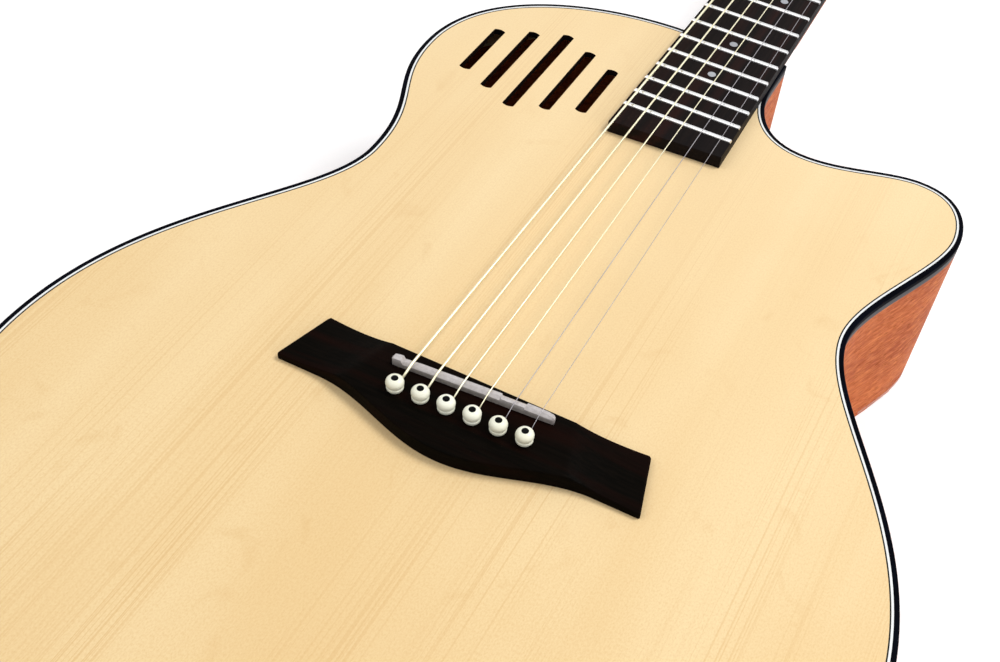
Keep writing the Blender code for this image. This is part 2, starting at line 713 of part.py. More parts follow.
def make_top_bracing():
    top = TOP_UNDERSIDE - GAP
    bottom = top - BRACE_HEIGHT

    def on_leg(y, side):
        return side * BRACE_SPREAD * (BRACE_CROSSING_Y - y), y

    low, high = on_leg(BRACE_LEG_END_Y, 1), on_leg(BRACE_BAR_Y, 1)
    bracing = bar("top_bracing", low, high, BRACE_WIDTH, bottom, top)
    weld(bracing, bar("leg", on_leg(BRACE_LEG_END_Y, -1), on_leg(BRACE_BAR_Y, -1), BRACE_WIDTH, bottom, top))
    ends = (-BRACE_BAR_HALF_LENGTH, BRACE_BAR_Y), (BRACE_BAR_HALF_LENGTH, BRACE_BAR_Y)
    weld(bracing, bar("bar", ends[0], ends[1], BRACE_WIDTH, bottom, top))
    upper_bar = on_leg(UPPER_TONE_BAR_START_Y, 1), UPPER_TONE_BAR_END
    lower_end = LOWER_TONE_BAR_END_X, TAIL_Y + LOWER_TONE_BAR_END_UP_FROM_TAIL
    lower_bar = on_leg(BRACE_LEG_END_Y + LOWER_TONE_BAR_UP_LEG, 1), lower_end
    for start, end in (upper_bar, lower_bar):
        weld(bracing, bar("tone_bar", start, end, TONE_BAR_WIDTH, top - TONE_BAR_HEIGHT, top))
    return finish(bracing, INNER_SPRUCE)


def make_back_bracing():
    bottom = BACK_THICKNESS + GAP
    start, end = (0, TAIL_Y + BACK_STRIP_UP_FROM_TAIL), (0, JOINT_Y - BACK_STRIP_END_DOWN)
    bracing = bar("back_bracing", start, end, BACK_STRIP_WIDTH, bottom, bottom + BACK_STRIP_HEIGHT)
    places = [(JOINT_Y - down, half_length) for down, half_length in BACK_BRACES]
    places.append((TAIL_Y + TAIL_BRACE[0], TAIL_BRACE[1]))
    for y, half_length in places:
        start, end = (-half_length, y), (half_length, y)
        weld(bracing, bar("brace", start, end, BRACE_WIDTH, bottom, bottom + BRACE_HEIGHT))
    return finish(bracing, INNER_SPRUCE)


def make_bridge_plate():
    """The hard plate under the bridge, tapered to fit between the legs of the bracing."""
    margin = BRACE_WIDTH / 2 / cos(atan(BRACE_SPREAD)) + GAP
    corners = []
    for y in (BRIDGE_PLATE_REAR_Y, BRIDGE_PLATE_FRONT_Y):
        corners.append((BRACE_SPREAD * (BRACE_CROSSING_Y - y) - margin, y))
    outline = corners + [(-x, y) for x, y in reversed(corners)]
    top = TOP_UNDERSIDE - GAP
    plate = prism("bridge_plate", outline, top - BRIDGE_PLATE_THICKNESS, top)
    for x in pin_xs():
        cut(plate, pin_bore(x))
    return finish(plate, MAHOGANY)


# Bridge

def string_xs(y):
    """Where the six strings cross a line at this distance from the saddle, from bass to treble."""
    narrowing = (STRING_SPREAD_AT_NUT - STRING_SPREAD_AT_SADDLE) * y / SCALE_LENGTH
    spread = STRING_SPREAD_AT_SADDLE + narrowing
    return [spread * (number / 5 - 0.5) for number in range(6)]


def pin_xs():
    return [BRIDGE_CENTRE_X + STRING_SPREAD_AT_PINS * (number / 5 - 0.5) for number in range(6)]


def pin_y(x):
    """The row of pins slants, though less than the saddle."""
    return PIN_ROW_Y + (x - BRIDGE_CENTRE_X) * tan(PIN_ROW_SLANT)


def pin_bore(x):
    frame = axis_frame((x, pin_y(x), 0), UP)
    radius = PIN_SHANK_RADIUS + GAP
    ends = TOP_UNDERSIDE - CUTTER_REACH, BRIDGE_TOP + CUTTER_REACH
    return turned("pin_bore", [(radius, z) for z in ends], frame, SMALL_SIDES)


def bridge_rear(share):
    """Rear edge of the bridge: straight wings, and a belly that swells towards the middle."""
    reach = min(abs(share) / BRIDGE_BELLY_SHARE, 1)
    swell = (cos(pi * reach) + 1) / 2
    return BRIDGE_WING_REAR_Y + (BRIDGE_BELLY_Y - BRIDGE_WING_REAR_Y) * swell


def wing_share(share):
    """How far along the wing a place lies, from 0 at the crease to 1 at the tip."""
    return max(0, (abs(share) - BRIDGE_CREASE_SHARE) / (1 - BRIDGE_CREASE_SHARE))


def bridge_front(share):
    """Front edge of the bridge: straight in the middle, and flared along each wing."""
    return BRIDGE_FRONT_Y + (BRIDGE_TIP_FRONT_Y - BRIDGE_FRONT_Y) * wing_share(share)


def bridge_height(share):
    """Height of the top: level in the middle, then scooped from the crease to the tip."""
    scoop = (1 - wing_share(share)) ** BRIDGE_SCOOP_CURVE
    return BRIDGE_WING_HEIGHT + (BRIDGE_HEIGHT - BRIDGE_WING_HEIGHT) * scoop


def bridge_x(share, y):
    """Creases and tips both lean outwards to the rear, with the places between in proportion."""
    back = (BRIDGE_TIP_FRONT_Y - max(y, BRIDGE_WING_REAR_Y)) / (BRIDGE_TIP_FRONT_Y - BRIDGE_WING_REAR_Y)
    crease = BRIDGE_CREASE_X_FRONT + (BRIDGE_CREASE_X_REAR - BRIDGE_CREASE_X_FRONT) * back
    tip = BRIDGE_HALF_WIDTH_FRONT + (BRIDGE_HALF_WIDTH_REAR - BRIDGE_HALF_WIDTH_FRONT) * back
    reach = crease * min(abs(share) / BRIDGE_CREASE_SHARE, 1) + (tip - crease) * wing_share(share)
    return BRIDGE_CENTRE_X + (reach if share > 0 else -reach)


def bridge_section(share, height):
    """One cut through the bridge, at a share of its half width."""
    front, rear = bridge_front(share), bridge_rear(share)
    low, high = BRIDGE_BOTTOM, BRIDGE_BOTTOM + height
    c = BRIDGE_CHAMFER
    near = (front, low), (front, high - c), (front - c, high)
    far = (rear + c, high), (rear, high - c), (rear, low)
    return [(bridge_x(share, y), y, z) for y, z in near + far]


def make_bridge():
    chamfer_share = 1 - BRIDGE_CHAMFER / BRIDGE_HALF_WIDTH_REAR
    steps = [part / BRIDGE_STATIONS for part in range(BRIDGE_STATIONS, 0, -1)]
    half = [(1.0, BRIDGE_WING_HEIGHT - BRIDGE_CHAMFER)]
    for step in steps:
        share = BRIDGE_CREASE_SHARE + (chamfer_share - BRIDGE_CREASE_SHARE) * step
        half.append((share, bridge_height(share)))
    half += [(BRIDGE_CREASE_SHARE * step, BRIDGE_HEIGHT) for step in steps]
    stations = [(-s, h) for s, h in half] + [(0.0, BRIDGE_HEIGHT)] + list(reversed(half))
    bridge = loft("bridge", [bridge_section(share, height) for share, height in stations])
    for x, diameter in zip(pin_xs(), STRING_DIAMETERS):
        cut(bridge, pin_bore(x))
        half_slot = diameter / 2 + GAP
        low = (x - half_slot, pin_y(x), BRIDGE_TOP - STRING_RAMP_DEPTH)
        high = (x + half_slot, string_start_y(x, diameter) + half_slot, BRIDGE_TOP + CUTTER_REACH)
        cut(bridge, box("ramp", low, high))
    slot_heights = BRIDGE_BOTTOM + SADDLE_SLOT_FLOOR, BRIDGE_TOP + CUTTER_REACH
    cut(bridge, saddle_bar("saddle_slot", GAP, *slot_heights, 0))
    return finish(bridge, EBONY)


def saddle_bar(name, clearance, bottom, top, crown):
    """A bar along the saddle's slanted line."""
    half = SADDLE_THICKNESS / 2 + clearance
    reach = SADDLE_LENGTH / 2 + clearance
    section = [(-half, bottom), (half, bottom)]
    if crown:
        section += [(half, top - crown), (half - crown, top), (crown - half, top), (-half, top - crown)]
    else:
        section += [(half, top), (-half, top)]
    frame = Matrix.Translation((SADDLE_CENTRE_X, SADDLE_CENTRE_Y, 0)) @ Matrix.Rotation(SADDLE_SLANT, 4, "Z")
    return loft(name, [[frame @ Vector((x, y, z)) for y, z in section] for x in (-reach, reach)])


def make_saddle():
    pickup_bottom = BRIDGE_BOTTOM + SADDLE_SLOT_FLOOR + GAP
    pickup = saddle_bar("pickup_strip", 0, pickup_bottom, pickup_bottom + PICKUP_HEIGHT, 0)
    finish(pickup, NICKEL)
    saddle = saddle_bar("saddle", 0, pickup_bottom + PICKUP_HEIGHT + GAP, TOP_Z + SADDLE_TOP, SADDLE_CROWN)
    finish(saddle, CREAM)


def make_pins():
    for number, x in enumerate(pin_xs(), start=1):
        seat = BRIDGE_TOP + GAP
        profile = (
            (PIN_TIP_RADIUS, seat + PIN_HEAD_HEIGHT - PIN_LENGTH), (PIN_SHANK_RADIUS, seat),
            (PIN_HEAD_RADIUS, seat), (PIN_HEAD_RADIUS, seat + PIN_COLLAR_HEIGHT),
            (PIN_NECK_RADIUS, seat + PIN_NECK_HEIGHT), (PIN_HEAD_RADIUS, seat + PIN_BEAD_HEIGHT),
            (PIN_NECK_RADIUS, seat + PIN_SHOULDER_HEIGHT), (PIN_TOP_RADIUS, seat + PIN_HEAD_HEIGHT),
        )
        pin = turned(f"bridge_pin_{number}", profile, axis_frame((x, pin_y(x), 0), UP), SMALL_SIDES)
        finish(pin, IVORY)


# Neck

def board_half_width(y):
    slope = (BOARD_WIDTH_AT_LAST_FRET - BOARD_WIDTH_AT_NUT) / (SCALE_LENGTH - LAST_FRET_Y)
    return (BOARD_WIDTH_AT_NUT + slope * (SCALE_LENGTH - y)) / 2


def neck_section(y, half_width, top, depth):
    points = [(-half_width, y, top), (half_width, y, top)]
    for i in range(1, NECK_SIDES):
        angle = pi * i / NECK_SIDES
        points.append((half_width * cos(angle), y, top - depth * sin(angle) ** NECK_FULLNESS))
    return points


def neck_depth(y):
    share = (SCALE_LENGTH - y) / (SCALE_LENGTH - JOINT_Y)
    return NECK_DEPTH_AT_NUT + (NECK_DEPTH_AT_BODY - NECK_DEPTH_AT_NUT) * share


def head_half_width(u):
    """Half width of the headstock this far from the nut."""
    for (u0, w0), (u1, w1) in zip(HEAD_EDGE, HEAD_EDGE[1:]):
        if u <= u1:
            break
    return w0 + (w1 - w0) * (u - u0) / (u1 - u0)


def head_outline(inset=0.0):
    right = [(w - inset, u) for u, w in HEAD_EDGE]
    right[0] = (right[0][0], inset)
    tip = (0, HEAD_LENGTH - inset)
    return right + [tip] + [(-x, u) for x, u in reversed(right)]


def in_head(name, outline, bottom, top):
    """A flat piece in the headstock's own plane."""
    return loft(name, [[HEAD_FRAME @ Vector((x, u, w)) for x, u in outline] for w in (bottom, top)])


def heel_section(z):
    share = (z - heel_foot()) / (heel_top() - heel_foot())
    widening = (HEEL_TOP_HALF_WIDTH - HEEL_FOOT_HALF_WIDTH) * share ** HEEL_WIDTH_CURVE
    half_width = HEEL_FOOT_HALF_WIDTH + widening
    length = HEEL_FOOT_LENGTH + (HEEL_TOP_LENGTH - HEEL_FOOT_LENGTH) * share ** HEEL_SWEEP_CURVE
    front = JOINT_Y + GAP
    points = []
    for i in range(NECK_SIDES + 1):
        angle = pi * i / NECK_SIDES
        points.append((half_width * cos(angle), front + length * sin(angle) ** HEEL_FULLNESS, z))
    return points


def heel_top():
    return TOP_Z - HEEL_TOP_DEPTH


def heel_foot():
    return HEEL_CAP_LIFT + HEEL_CAP_THICKNESS + GAP


def tenon_heights():
    """The tenon passes between the two linings."""
    return back_lining_heights()[1] + GAP, top_lining_heights()[0] - GAP


def make_neck():
    shaft_start = JOINT_Y + GAP
    stations = [shaft_start + (HEAD_Y - shaft_start) * i / NECK_STEPS for i in range(NECK_STEPS + 1)]
    sections = [neck_section(y, board_half_width(y), TOP_Z, neck_depth(y)) for y in stations]
    for past, taper, depth in NECK_END_STEPS:
        top = TOP_Z - past * tan(HEAD_TILT) - NECK_END_DROP
        sections.append(neck_section(HEAD_Y + past, board_half_width(HEAD_Y) * taper, top, depth))
    neck = loft("neck", sections)
    weld(neck, in_head("head", head_outline(), -HEAD_THICKNESS, 0))
    heights = [heel_foot() + (heel_top() - heel_foot()) * share for share in HEEL_STATIONS]
    weld(neck, loft("heel", [heel_section(z) for z in heights]))
    low, high = tenon_heights()
    start = JOINT_Y - TENON_LENGTH
    weld(neck, box("tenon", (-TENON_HALF_WIDTH, start, low), (TENON_HALF_WIDTH, JOINT_Y + TENON_LAP, high)))
    half = ROD_CHANNEL_WIDTH / 2
    channel_low = (-half, ROD_START_Y, TOP_Z - ROD_CHANNEL_DEPTH)
    channel_high = (half, HEAD_Y + ROD_CHANNEL_PAST_NUT, TOP_Z + CUTTER_REACH)
    cut(neck, box("rod_channel", channel_low, channel_high))
    cut(neck, rod_pocket())
    for side in (-1, 1):
        for u in post_places():
            cut(neck, post_bore(side, u))
    return finish(neck, MAHOGANY)


def rod_pocket():
    start = HEAD_Y + ROD_POCKET_START
    low = (-ROD_POCKET_HALF_WIDTH, start, TOP_Z - ROD_CHANNEL_DEPTH - ROD_POCKET_EXTRA_DEPTH)
    high = (ROD_POCKET_HALF_WIDTH, start + ROD_POCKET_LENGTH, TOP_Z + CUTTER_REACH)
    return box("rod_pocket", low, high)


def make_heel_cap():
    section = heel_section(heel_foot())
    outline = [(x, y) for x, y, _ in section]
    cap = prism("heel_cap", outline, HEEL_CAP_LIFT, HEEL_CAP_LIFT + HEEL_CAP_THICKNESS)
    return finish(cap, EBONY)


def fret_line(number):
    return SCALE_LENGTH * 2 ** (-number / 12)


def fret_slot(y, half_width):
    t = FRET_TANG_WIDTH / 2 + GAP
    reach = half_width + CUTTER_REACH
    low = (-reach, y - t, BOARD_TOP - FRET_TANG_DEPTH - GAP)
    return box("fret_slot", low, (reach, y + t, BOARD_TOP + CUTTER_REACH))


def fret_solid(name, y, half_width):
    """A fret: a low crown with bevelled ends on a thin tang."""
    b, t = FRET_WIDTH / 2, FRET_TANG_WIDTH / 2
    foot, crown = BOARD_TOP + GAP, BOARD_TOP + GAP + FRET_HEIGHT
    deep = BOARD_TOP - FRET_TANG_DEPTH
    profile = (
        (-b, foot, 0), (-b / 2, crown, FRET_END_BEVEL), (b / 2, crown, FRET_END_BEVEL), (b, foot, 0),
        (t, foot, 0), (t, deep, 0), (-t, deep, 0), (-t, foot, 0),
    )
    sections = [[(side * (half_width - bevel), y + dy, z) for dy, z, bevel in profile] for side in (-1, 1)]
    return loft(name, sections)


def make_fretboard():
    near, far, bass_end = BOARD_END_Y, SCALE_LENGTH - GAP, BOARD_END_Y - BOARD_END_SLANT
    a, b, c = board_half_width(near), board_half_width(far), board_half_width(bass_end)
    board = prism("fretboard", ((-c, bass_end), (a, near), (b, far), (-b, far)), BOARD_BOTTOM, BOARD_TOP)
    for number in range(1, FRET_COUNT + 1):
        y = fret_line(number)
        cut(board, fret_slot(y, board_half_width(y)))
    half = FRET_RAIL_WIDTH / 2 + GAP
    past = FRET_RAIL_END + FRET_RAIL_END_CLEARANCE
    low = (-half, fret_line(FRET_COUNT) - past, BOARD_BOTTOM - CUTTER_REACH)
    high = (half, fret_line(1) + past, rail_heights()[1] + GAP)
    cut(board, box("rail_groove", low, high))
    return finish(board, EBONY)


def rail_heights():
    top = BOARD_TOP - FRET_TANG_DEPTH + FRET_RAIL_LAP
    return top - FRET_RAIL_HEIGHT, top


def make_frets():
    """All the frets, held together by a hidden rail under the board."""
    low, high = rail_heights()
    half = FRET_RAIL_WIDTH / 2
    ends = fret_line(FRET_COUNT) - FRET_RAIL_END, fret_line(1) + FRET_RAIL_END
    frets = box("frets", (-half, ends[0], low), (half, ends[1], high))
    for number in range(1, FRET_COUNT + 1):
        y = fret_line(number)
        weld(frets, fret_solid("fret", y, board_half_width(y)))
    return finish(frets, NICKEL)


def make_nut():
    near, far = SCALE_LENGTH, SCALE_LENGTH + NUT_THICKNESS
    high = TOP_Z + NUT_HEIGHT
    section = (
        (near, BOARD_BOTTOM), (far, BOARD_BOTTOM), (far, high - NUT_REAR_DROP),
        (near + NUT_FLAT, high), (near, high),
    )
    half = BOARD_WIDTH_AT_NUT / 2
    nut = loft("nut", [[(x, y, z) for y, z in section] for x in (-half, half)])
    for x, diameter in zip(string_xs(SCALE_LENGTH), STRING_DIAMETERS):
        wide = diameter / 2 + GAP
        slope = NUT_SLOT_DROP / NUT_THICKNESS
        over, floor_z = CUTTER_REACH, STRING_ZS[1] - GAP
        slot = (
            (near - over, floor_z), (near, floor_z), (far + over, floor_z - slope * (NUT_THICKNESS + over)),
            (far + over, high + over), (near - over, high + over),
        )
        cut(nut, loft("nut_slot", [[(px, y, z) for y, z in slot] for px in (x - wide, x + wide)]))
    return finish(nut, CREAM)


def make_truss_rod():
    half = ROD_CHANNEL_WIDTH / 2 - GAP
    low = (-half, ROD_START_Y + GAP, TOP_Z - ROD_CHANNEL_DEPTH + GAP)
    rod = box("truss_rod", low, (half, HEAD_Y, TOP_Z - GAP))
    finish(rod, STEEL)
    start = HEAD_Y + ROD_NUT_FROM_HEAD
    frame = axis_frame((0, start, ROD_AXIS_Z), (0, 1, 0))
    reach, radius = ROD_END_HALF_LENGTH, ROD_END_RADIUS + ROD_THREAD_CLEARANCE
    weld(rod, turned("rod_end", ((ROD_END_RADIUS, -reach), (ROD_END_RADIUS, reach)), frame, BORE_SIDES))
    nut = turned("truss_rod_nut", ((ROD_NUT_RADIUS, 0), (ROD_NUT_RADIUS, ROD_NUT_LENGTH)), frame, HEX_SIDES)
    thread = (radius, -reach), (radius, reach + ROD_THREAD_CLEARANCE)
    cut(nut, turned("rod_thread", thread, frame, BORE_SIDES))
    nut.data.shade_flat()
    finish(nut, NICKEL)
    pivot(nut, (0, start, ROD_AXIS_Z))


def make_veneer_and_cover():
    veneer = in_head("headstock_veneer", head_outline(), GAP, GAP + VENEER_THICKNESS)
    cut(veneer, rod_pocket())
    for side in (-1, 1):
        for u in post_places():
            cut(veneer, post_bore(side, u))
    finish(veneer, EBONY)
    seat = 2 * GAP + VENEER_THICKNESS
    shape = [(ROD_COVER_HALF_WIDTH * w, ROD_COVER_START + ROD_COVER_LENGTH * u) for u, w in ROD_COVER_SHAPE]
    outline = shape + [(-x, u) for x, u in reversed(shape)]
    finish(in_head("truss_rod_cover", outline, seat, seat + ROD_COVER_THICKNESS), BLACK_PLASTIC)


# Tuners

def post_places():
    return [POST_FIRST_U + POST_PITCH * number for number in range(3)]


def tuner_layout():
    """Side and place along the head of each tuner, from the lowest string to the highest."""
    near, middle, far = post_places()
    return ((-1, near), (-1, middle), (-1, far), (1, far), (1, middle), (1, near))


def head_axis(side, u):
    """A frame on a post's axis, with its Z axis square to the headstock's face."""
    return HEAD_FRAME @ Matrix.Translation((side * POST_X, u, 0))


def post_bore(side, u):
    radius = POST_RADIUS + POST_CLEARANCE
    ends = BELOW_PLATE - TUNER_PLATE_THICKNESS, CUTTER_REACH
    return turned("post_bore", [(radius, w) for w in ends], head_axis(side, u), ROUND_SIDES)


def worm_frame(side, u):
    """A frame on a worm shaft's axis, with its Z axis pointing out to the button."""
    place = Matrix.Translation((side * POST_X, u + WORM_OFFSET, WORM_AXIS_DEPTH))
    return HEAD_FRAME @ place @ Matrix.Rotation(side * pi / 2, 4, "Y")


def make_tuner_plate(name, side):
    inner, outer = (side * POST_X + reach * TUNER_PLATE_HALF_WIDTH for reach in (-1, 1))
    places = post_places()
    start, end = places[0] - TUNER_PLATE_BEFORE, places[-1] + TUNER_PLATE_AFTER
    outline = ((inner, start), (outer, start), (outer, end), (inner, end))
    plate = in_head(name, outline, BELOW_PLATE, BELOW_HEAD)
    for u in places:
        for reach in (-1, 1):
            near = WORM_HALF_LENGTH + GAP
            xs = sorted(side * POST_X + reach * d for d in (near, near + WORM_BRACKET_THICKNESS))
            us = u + WORM_OFFSET - WORM_BRACKET_HALF_WIDTH, u + WORM_OFFSET + WORM_BRACKET_HALF_WIDTH
            tab = ((xs[0], us[0]), (xs[1], us[0]), (xs[1], us[1]), (xs[0], us[1]))
            low = WORM_AXIS_DEPTH - WORM_SHAFT_RADIUS - WORM_BRACKET_WALL
            weld(plate, in_head("bracket", tab, low, BELOW_PLATE + TUNER_PLATE_THICKNESS / 2))
        bore = [(WORM_SHAFT_RADIUS + GAP, reach * CUTTER_REACH) for reach in (-1, 1)]
        cut(plate, turned("shaft_bore", bore, worm_frame(side, u), SMALL_SIDES))
        cut(plate, post_bore(side, u))
    return finish(plate, NICKEL)


def make_post(number, side, u):
    gear_low = GEAR_TOP - GEAR_THICKNESS
    top = GAP + VENEER_THICKNESS + POST_HEIGHT
    rim_start, rim_full, rim_end = (top - below for below in POST_RIM_HEIGHTS)
    profile = (
        (GEAR_RADIUS, gear_low), (GEAR_RADIUS, GEAR_TOP), (POST_RADIUS, GEAR_TOP), (POST_RADIUS, rim_start),
        (POST_RADIUS + POST_RIM, rim_full), (POST_RADIUS + POST_RIM, rim_end), (POST_TOP_RADIUS, top),
    )
    frame = head_axis(side, u)
    post = turned(f"tuner_post_{number}", profile, frame, ROUND_SIDES)
    finish(post, NICKEL)
    pivot(post, frame.translation)


def make_button(number, side, u):
    """A worm, its shaft and the oval button on the shaft's end, as they turn together."""
    frame = worm_frame(side, u)
    reach = head_half_width(u + WORM_OFFSET) - POST_X + BUTTON_CLEAR_OF_HEAD
    thin, thick, half = WORM_SHAFT_RADIUS, WORM_RADIUS, WORM_HALF_LENGTH
    shaft_profile = (
        (thin, -half - GAP - WORM_BRACKET_THICKNESS), (thin, -half), (thick, -half),
        (thick, half), (thin, half), (thin, reach + BUTTON_SHAFT_LAP),
    )
    button = turned(f"tuner_button_{number}", shaft_profile, frame, SMALL_SIDES)
    sections = []
    for share, size in BUTTON_SHAPE:
        thick = BUTTON_HALF_THICKNESS * (BUTTON_FULLNESS + (1 - BUTTON_FULLNESS) * size)
        height = reach + BUTTON_LENGTH * share
        ring = []
        for i in range(SMALL_SIDES):
            angle = 2 * pi * i / SMALL_SIDES
            ring.append(frame @ Vector((thick * cos(angle), BUTTON_HALF_WIDTH * size * sin(angle), height)))
        sections.append(ring)
    weld(button, loft("grip", sections))
    button.data.shade_smooth()
    button.data.set_sharp_from_angle(angle=SHARP_ANGLE)
    finish(button, NICKEL)
    pivot(button, frame.translation)


def make_tuners():
    make_tuner_plate("tuner_plate_bass", -1)
    make_tuner_plate("tuner_plate_treble", 1)
    for number, (side, u) in enumerate(tuner_layout(), start=1):
        make_post(number, side, u)
        make_button(number, side, u)


# Strings

def string_start_y(x, diameter):
    return pin_y(x) + PIN_HEAD_RADIUS + GAP + diameter / 2


def saddle_line_y(x):
    return SADDLE_CENTRE_Y + (x - SADDLE_CENTRE_X) * tan(SADDLE_SLANT)


def winding(start, side, u, diameter):
    """The end of a string round its post, in the headstock's frame, from the nut to the last turn."""
    radius = POST_RADIUS + 2 * GAP + diameter / 2
    centre = Vector((side * POST_X, u))
    towards = Vector((start.x, start.y)) - centre
    spread = towards.normalized()
    tangent = radius / towards.length
    lean = (1 - tangent * tangent) ** 0.5
    sideways = Vector((-spread.y, spread.x)) * -side
    contact = (spread * tangent + sideways * lean) * radius
    count = floor(WINDING_LOOPS * WINDING_POINTS)
    pitch = diameter + WINDING_GAP
    points = []
    for i in range(count + 1):
        turn = -side * 2 * pi * i / WINDING_POINTS
        arm = Matrix.Rotation(turn, 2) @ contact
        height = WINDING_START - pitch * i / WINDING_POINTS
        points.append(Vector((centre.x + arm.x, centre.y + arm.y, height)))
    return points


def make_string(number, diameter, side, u):
    at_pin, at_saddle, at_nut = (xs[number - 1] for xs in (pin_xs(), string_xs(0), string_xs(SCALE_LENGTH)))
    radius = diameter / 2
    start_y = string_start_y(at_pin, diameter)
    rest_z, nut_z = STRING_ZS[0] + radius, STRING_ZS[1] + radius
    saddle_y = saddle_line_y(at_saddle)
    lean = SADDLE_THICKNESS / 2
    head_inverse = HEAD_FRAME.inverted()
    nut_rear = Vector((at_nut, SCALE_LENGTH + NUT_THICKNESS, nut_z - NUT_SLOT_DROP))
    turns = winding(head_inverse @ nut_rear, side, u, diameter)
    route = [
        Vector((at_pin, start_y, BRIDGE_TOP - STRING_REACH_INTO_BRIDGE)),
        Vector((at_pin, start_y, BRIDGE_TOP + STRING_RISE_AT_PIN)),
        Vector((at_saddle, saddle_y - lean, rest_z)), Vector((at_saddle, saddle_y + lean / 2, rest_z)),
        Vector((at_nut, SCALE_LENGTH, nut_z)), nut_rear,
    ] + [HEAD_FRAME @ point for point in turns]
    curve = bpy.data.curves.new(f"string_{number}", "CURVE")
    curve.dimensions = "3D"
    curve.bevel_depth = radius
    curve.bevel_resolution = 1
    curve.use_fill_caps = True
    spline = curve.splines.new("POLY")
    spline.points.add(len(route) - 1)
    for point, place in zip(spline.points, route):
        point.co = (*place, 1)
    string = bpy.data.objects.new(curve.name, curve)
    bpy.context.scene.collection.objects.link(string)
    wound = diameter > THICKEST_PLAIN_STRING
    finish(string, BRONZE if wound else STEEL)


def make_strings():
    for number, (diameter, place) in enumerate(zip(STRING_DIAMETERS, tuner_layout()), start=1):
        make_string(number, diameter, *place)


# Electronics

def preamp_centre():
    return path_length(edge_path(bass_knots()[:4], FINE_EDGE_STEP))


def preamp_block(name, clearance, outward):
    """The preamp's case, or the opening that it needs in the side."""
    middle = preamp_centre()
    half = PREAMP_HALF_LENGTH + clearance
    tall = PREAMP_HALF_HEIGHT + clearance
    heights = MIDDLE_Z - tall, MIDDLE_Z + tall
    return rim_patch(name, (middle - half, middle + half), heights, (-PREAMP_DEPTH, outward))


def make_preamp():
    middle = preamp_centre()
    preamp = preamp_block("preamp", 0, GAP + PREAMP_PLATE / 2)
    half = PREAMP_HALF_LENGTH + PREAMP_FLANGE
    tall = PREAMP_HALF_HEIGHT + PREAMP_FLANGE
    face = GAP + PREAMP_PLATE
    heights = MIDDLE_Z - tall, MIDDLE_Z + tall
    weld(preamp, rim_patch("flange", (middle - half, middle + half), heights, (GAP, face)))
    for offset in (-KNOB_SPACING, KNOB_SPACING):
        radius = KNOB_STEM_RADIUS + GAP
        bore = ((radius, -KNOB_STEM_LENGTH - 2 * GAP), (radius, CUTTER_REACH))
        cut(preamp, turned("stem_bore", bore, rim_frame(middle + offset, MIDDLE_Z), ROUND_SIDES))
    radius = PHASE_BUTTON_RADIUS + GAP
    bore = ((radius, -PHASE_BUTTON_TRAVEL - PHASE_BUTTON_DEPTH - 2 * GAP), (radius, CUTTER_REACH))
    cut(preamp, turned("button_bore", bore, rim_frame(middle, MIDDLE_Z), ROUND_SIDES))
    finish(preamp, BLACK_PLASTIC)
    for name, offset in (("tone_knob", -KNOB_SPACING), ("volume_knob", KNOB_SPACING)):
        frame = rim_frame(middle + offset, MIDDLE_Z)
        base = face + 2 * GAP
        profile = (
            (KNOB_STEM_RADIUS, -KNOB_STEM_LENGTH), (KNOB_STEM_RADIUS, base), (KNOB_RADIUS, base),
            (KNOB_SIDE_RADIUS, base + KNOB_HEIGHT - KNOB_ROUNDING), (KNOB_TOP_RADIUS, base + KNOB_HEIGHT),
        )
        knob = turned(name, profile, frame, KNOB_SIDES)
        finish(knob, BLACK_PLASTIC)
        pivot(knob, frame.translation)
    frame = rim_frame(middle, MIDDLE_Z)
    proud = face + PHASE_BUTTON_TRAVEL + PHASE_BUTTON_PROUD
    profile = (
        (PHASE_BUTTON_RADIUS, -PHASE_BUTTON_DEPTH), (PHASE_BUTTON_RADIUS, proud - PHASE_BUTTON_ROUNDING),
        (PHASE_BUTTON_TOP_RADIUS, proud),
    )
    button = turned("phase_button", profile, frame, ROUND_SIDES)
    finish(button, BLACK_PLASTIC)
    pivot(button, frame.translation)


def battery_block(name, grow, outward):
    """A straight block round the battery, grown on every side and reaching this far out of the edge."""
    half = BATTERY_LENGTH / 2 + grow
    tall = BATTERY_WIDTH / 2 + grow
    deep = -BATTERY_DEPTH - battery_sink() - grow
    frame = rim_frame(BATTERY_CENTRE_FROM_TAIL, MIDDLE_Z)
    outward_axis = frame.to_3x3() @ UP
    along = Vector((-outward_axis.y, outward_axis.x, 0)) * half
    corners = []
    for lift, end in ((deep, -1), (deep, 1), (outward, 1), (outward, -1)):
        corners.append(frame.translation + outward_axis * lift + along * end)
    return prism(name, [(c.x, c.y) for c in corners], MIDDLE_Z - tall, MIDDLE_Z + tall)


def battery_sink():
    """How far the curved edge falls back from flat over the battery's length, and a clearance."""
    frame = rim_frame(BATTERY_CENTRE_FROM_TAIL, MIDDLE_Z)
    far = rim_frame(BATTERY_CENTRE_FROM_TAIL + BATTERY_LENGTH / 2, MIDDLE_Z)
    near = rim_frame(BATTERY_CENTRE_FROM_TAIL - BATTERY_LENGTH / 2, MIDDLE_Z)
    outward = frame.to_3x3() @ UP
    return GAP + max((frame.translation - end.translation).dot(outward) for end in (far, near))


def hinge_place():
    """How far along the edge the door's hinge lies, and how far out."""
    half = BATTERY_LENGTH / 2 + BATTERY_BOX_WALL + BATTERY_FLANGE + GAP
    far = BATTERY_CENTRE_FROM_TAIL + half
    return far + HINGE_RADIUS + GAP, 2 * GAP + BATTERY_FLANGE_THICKNESS + HINGE_RADIUS


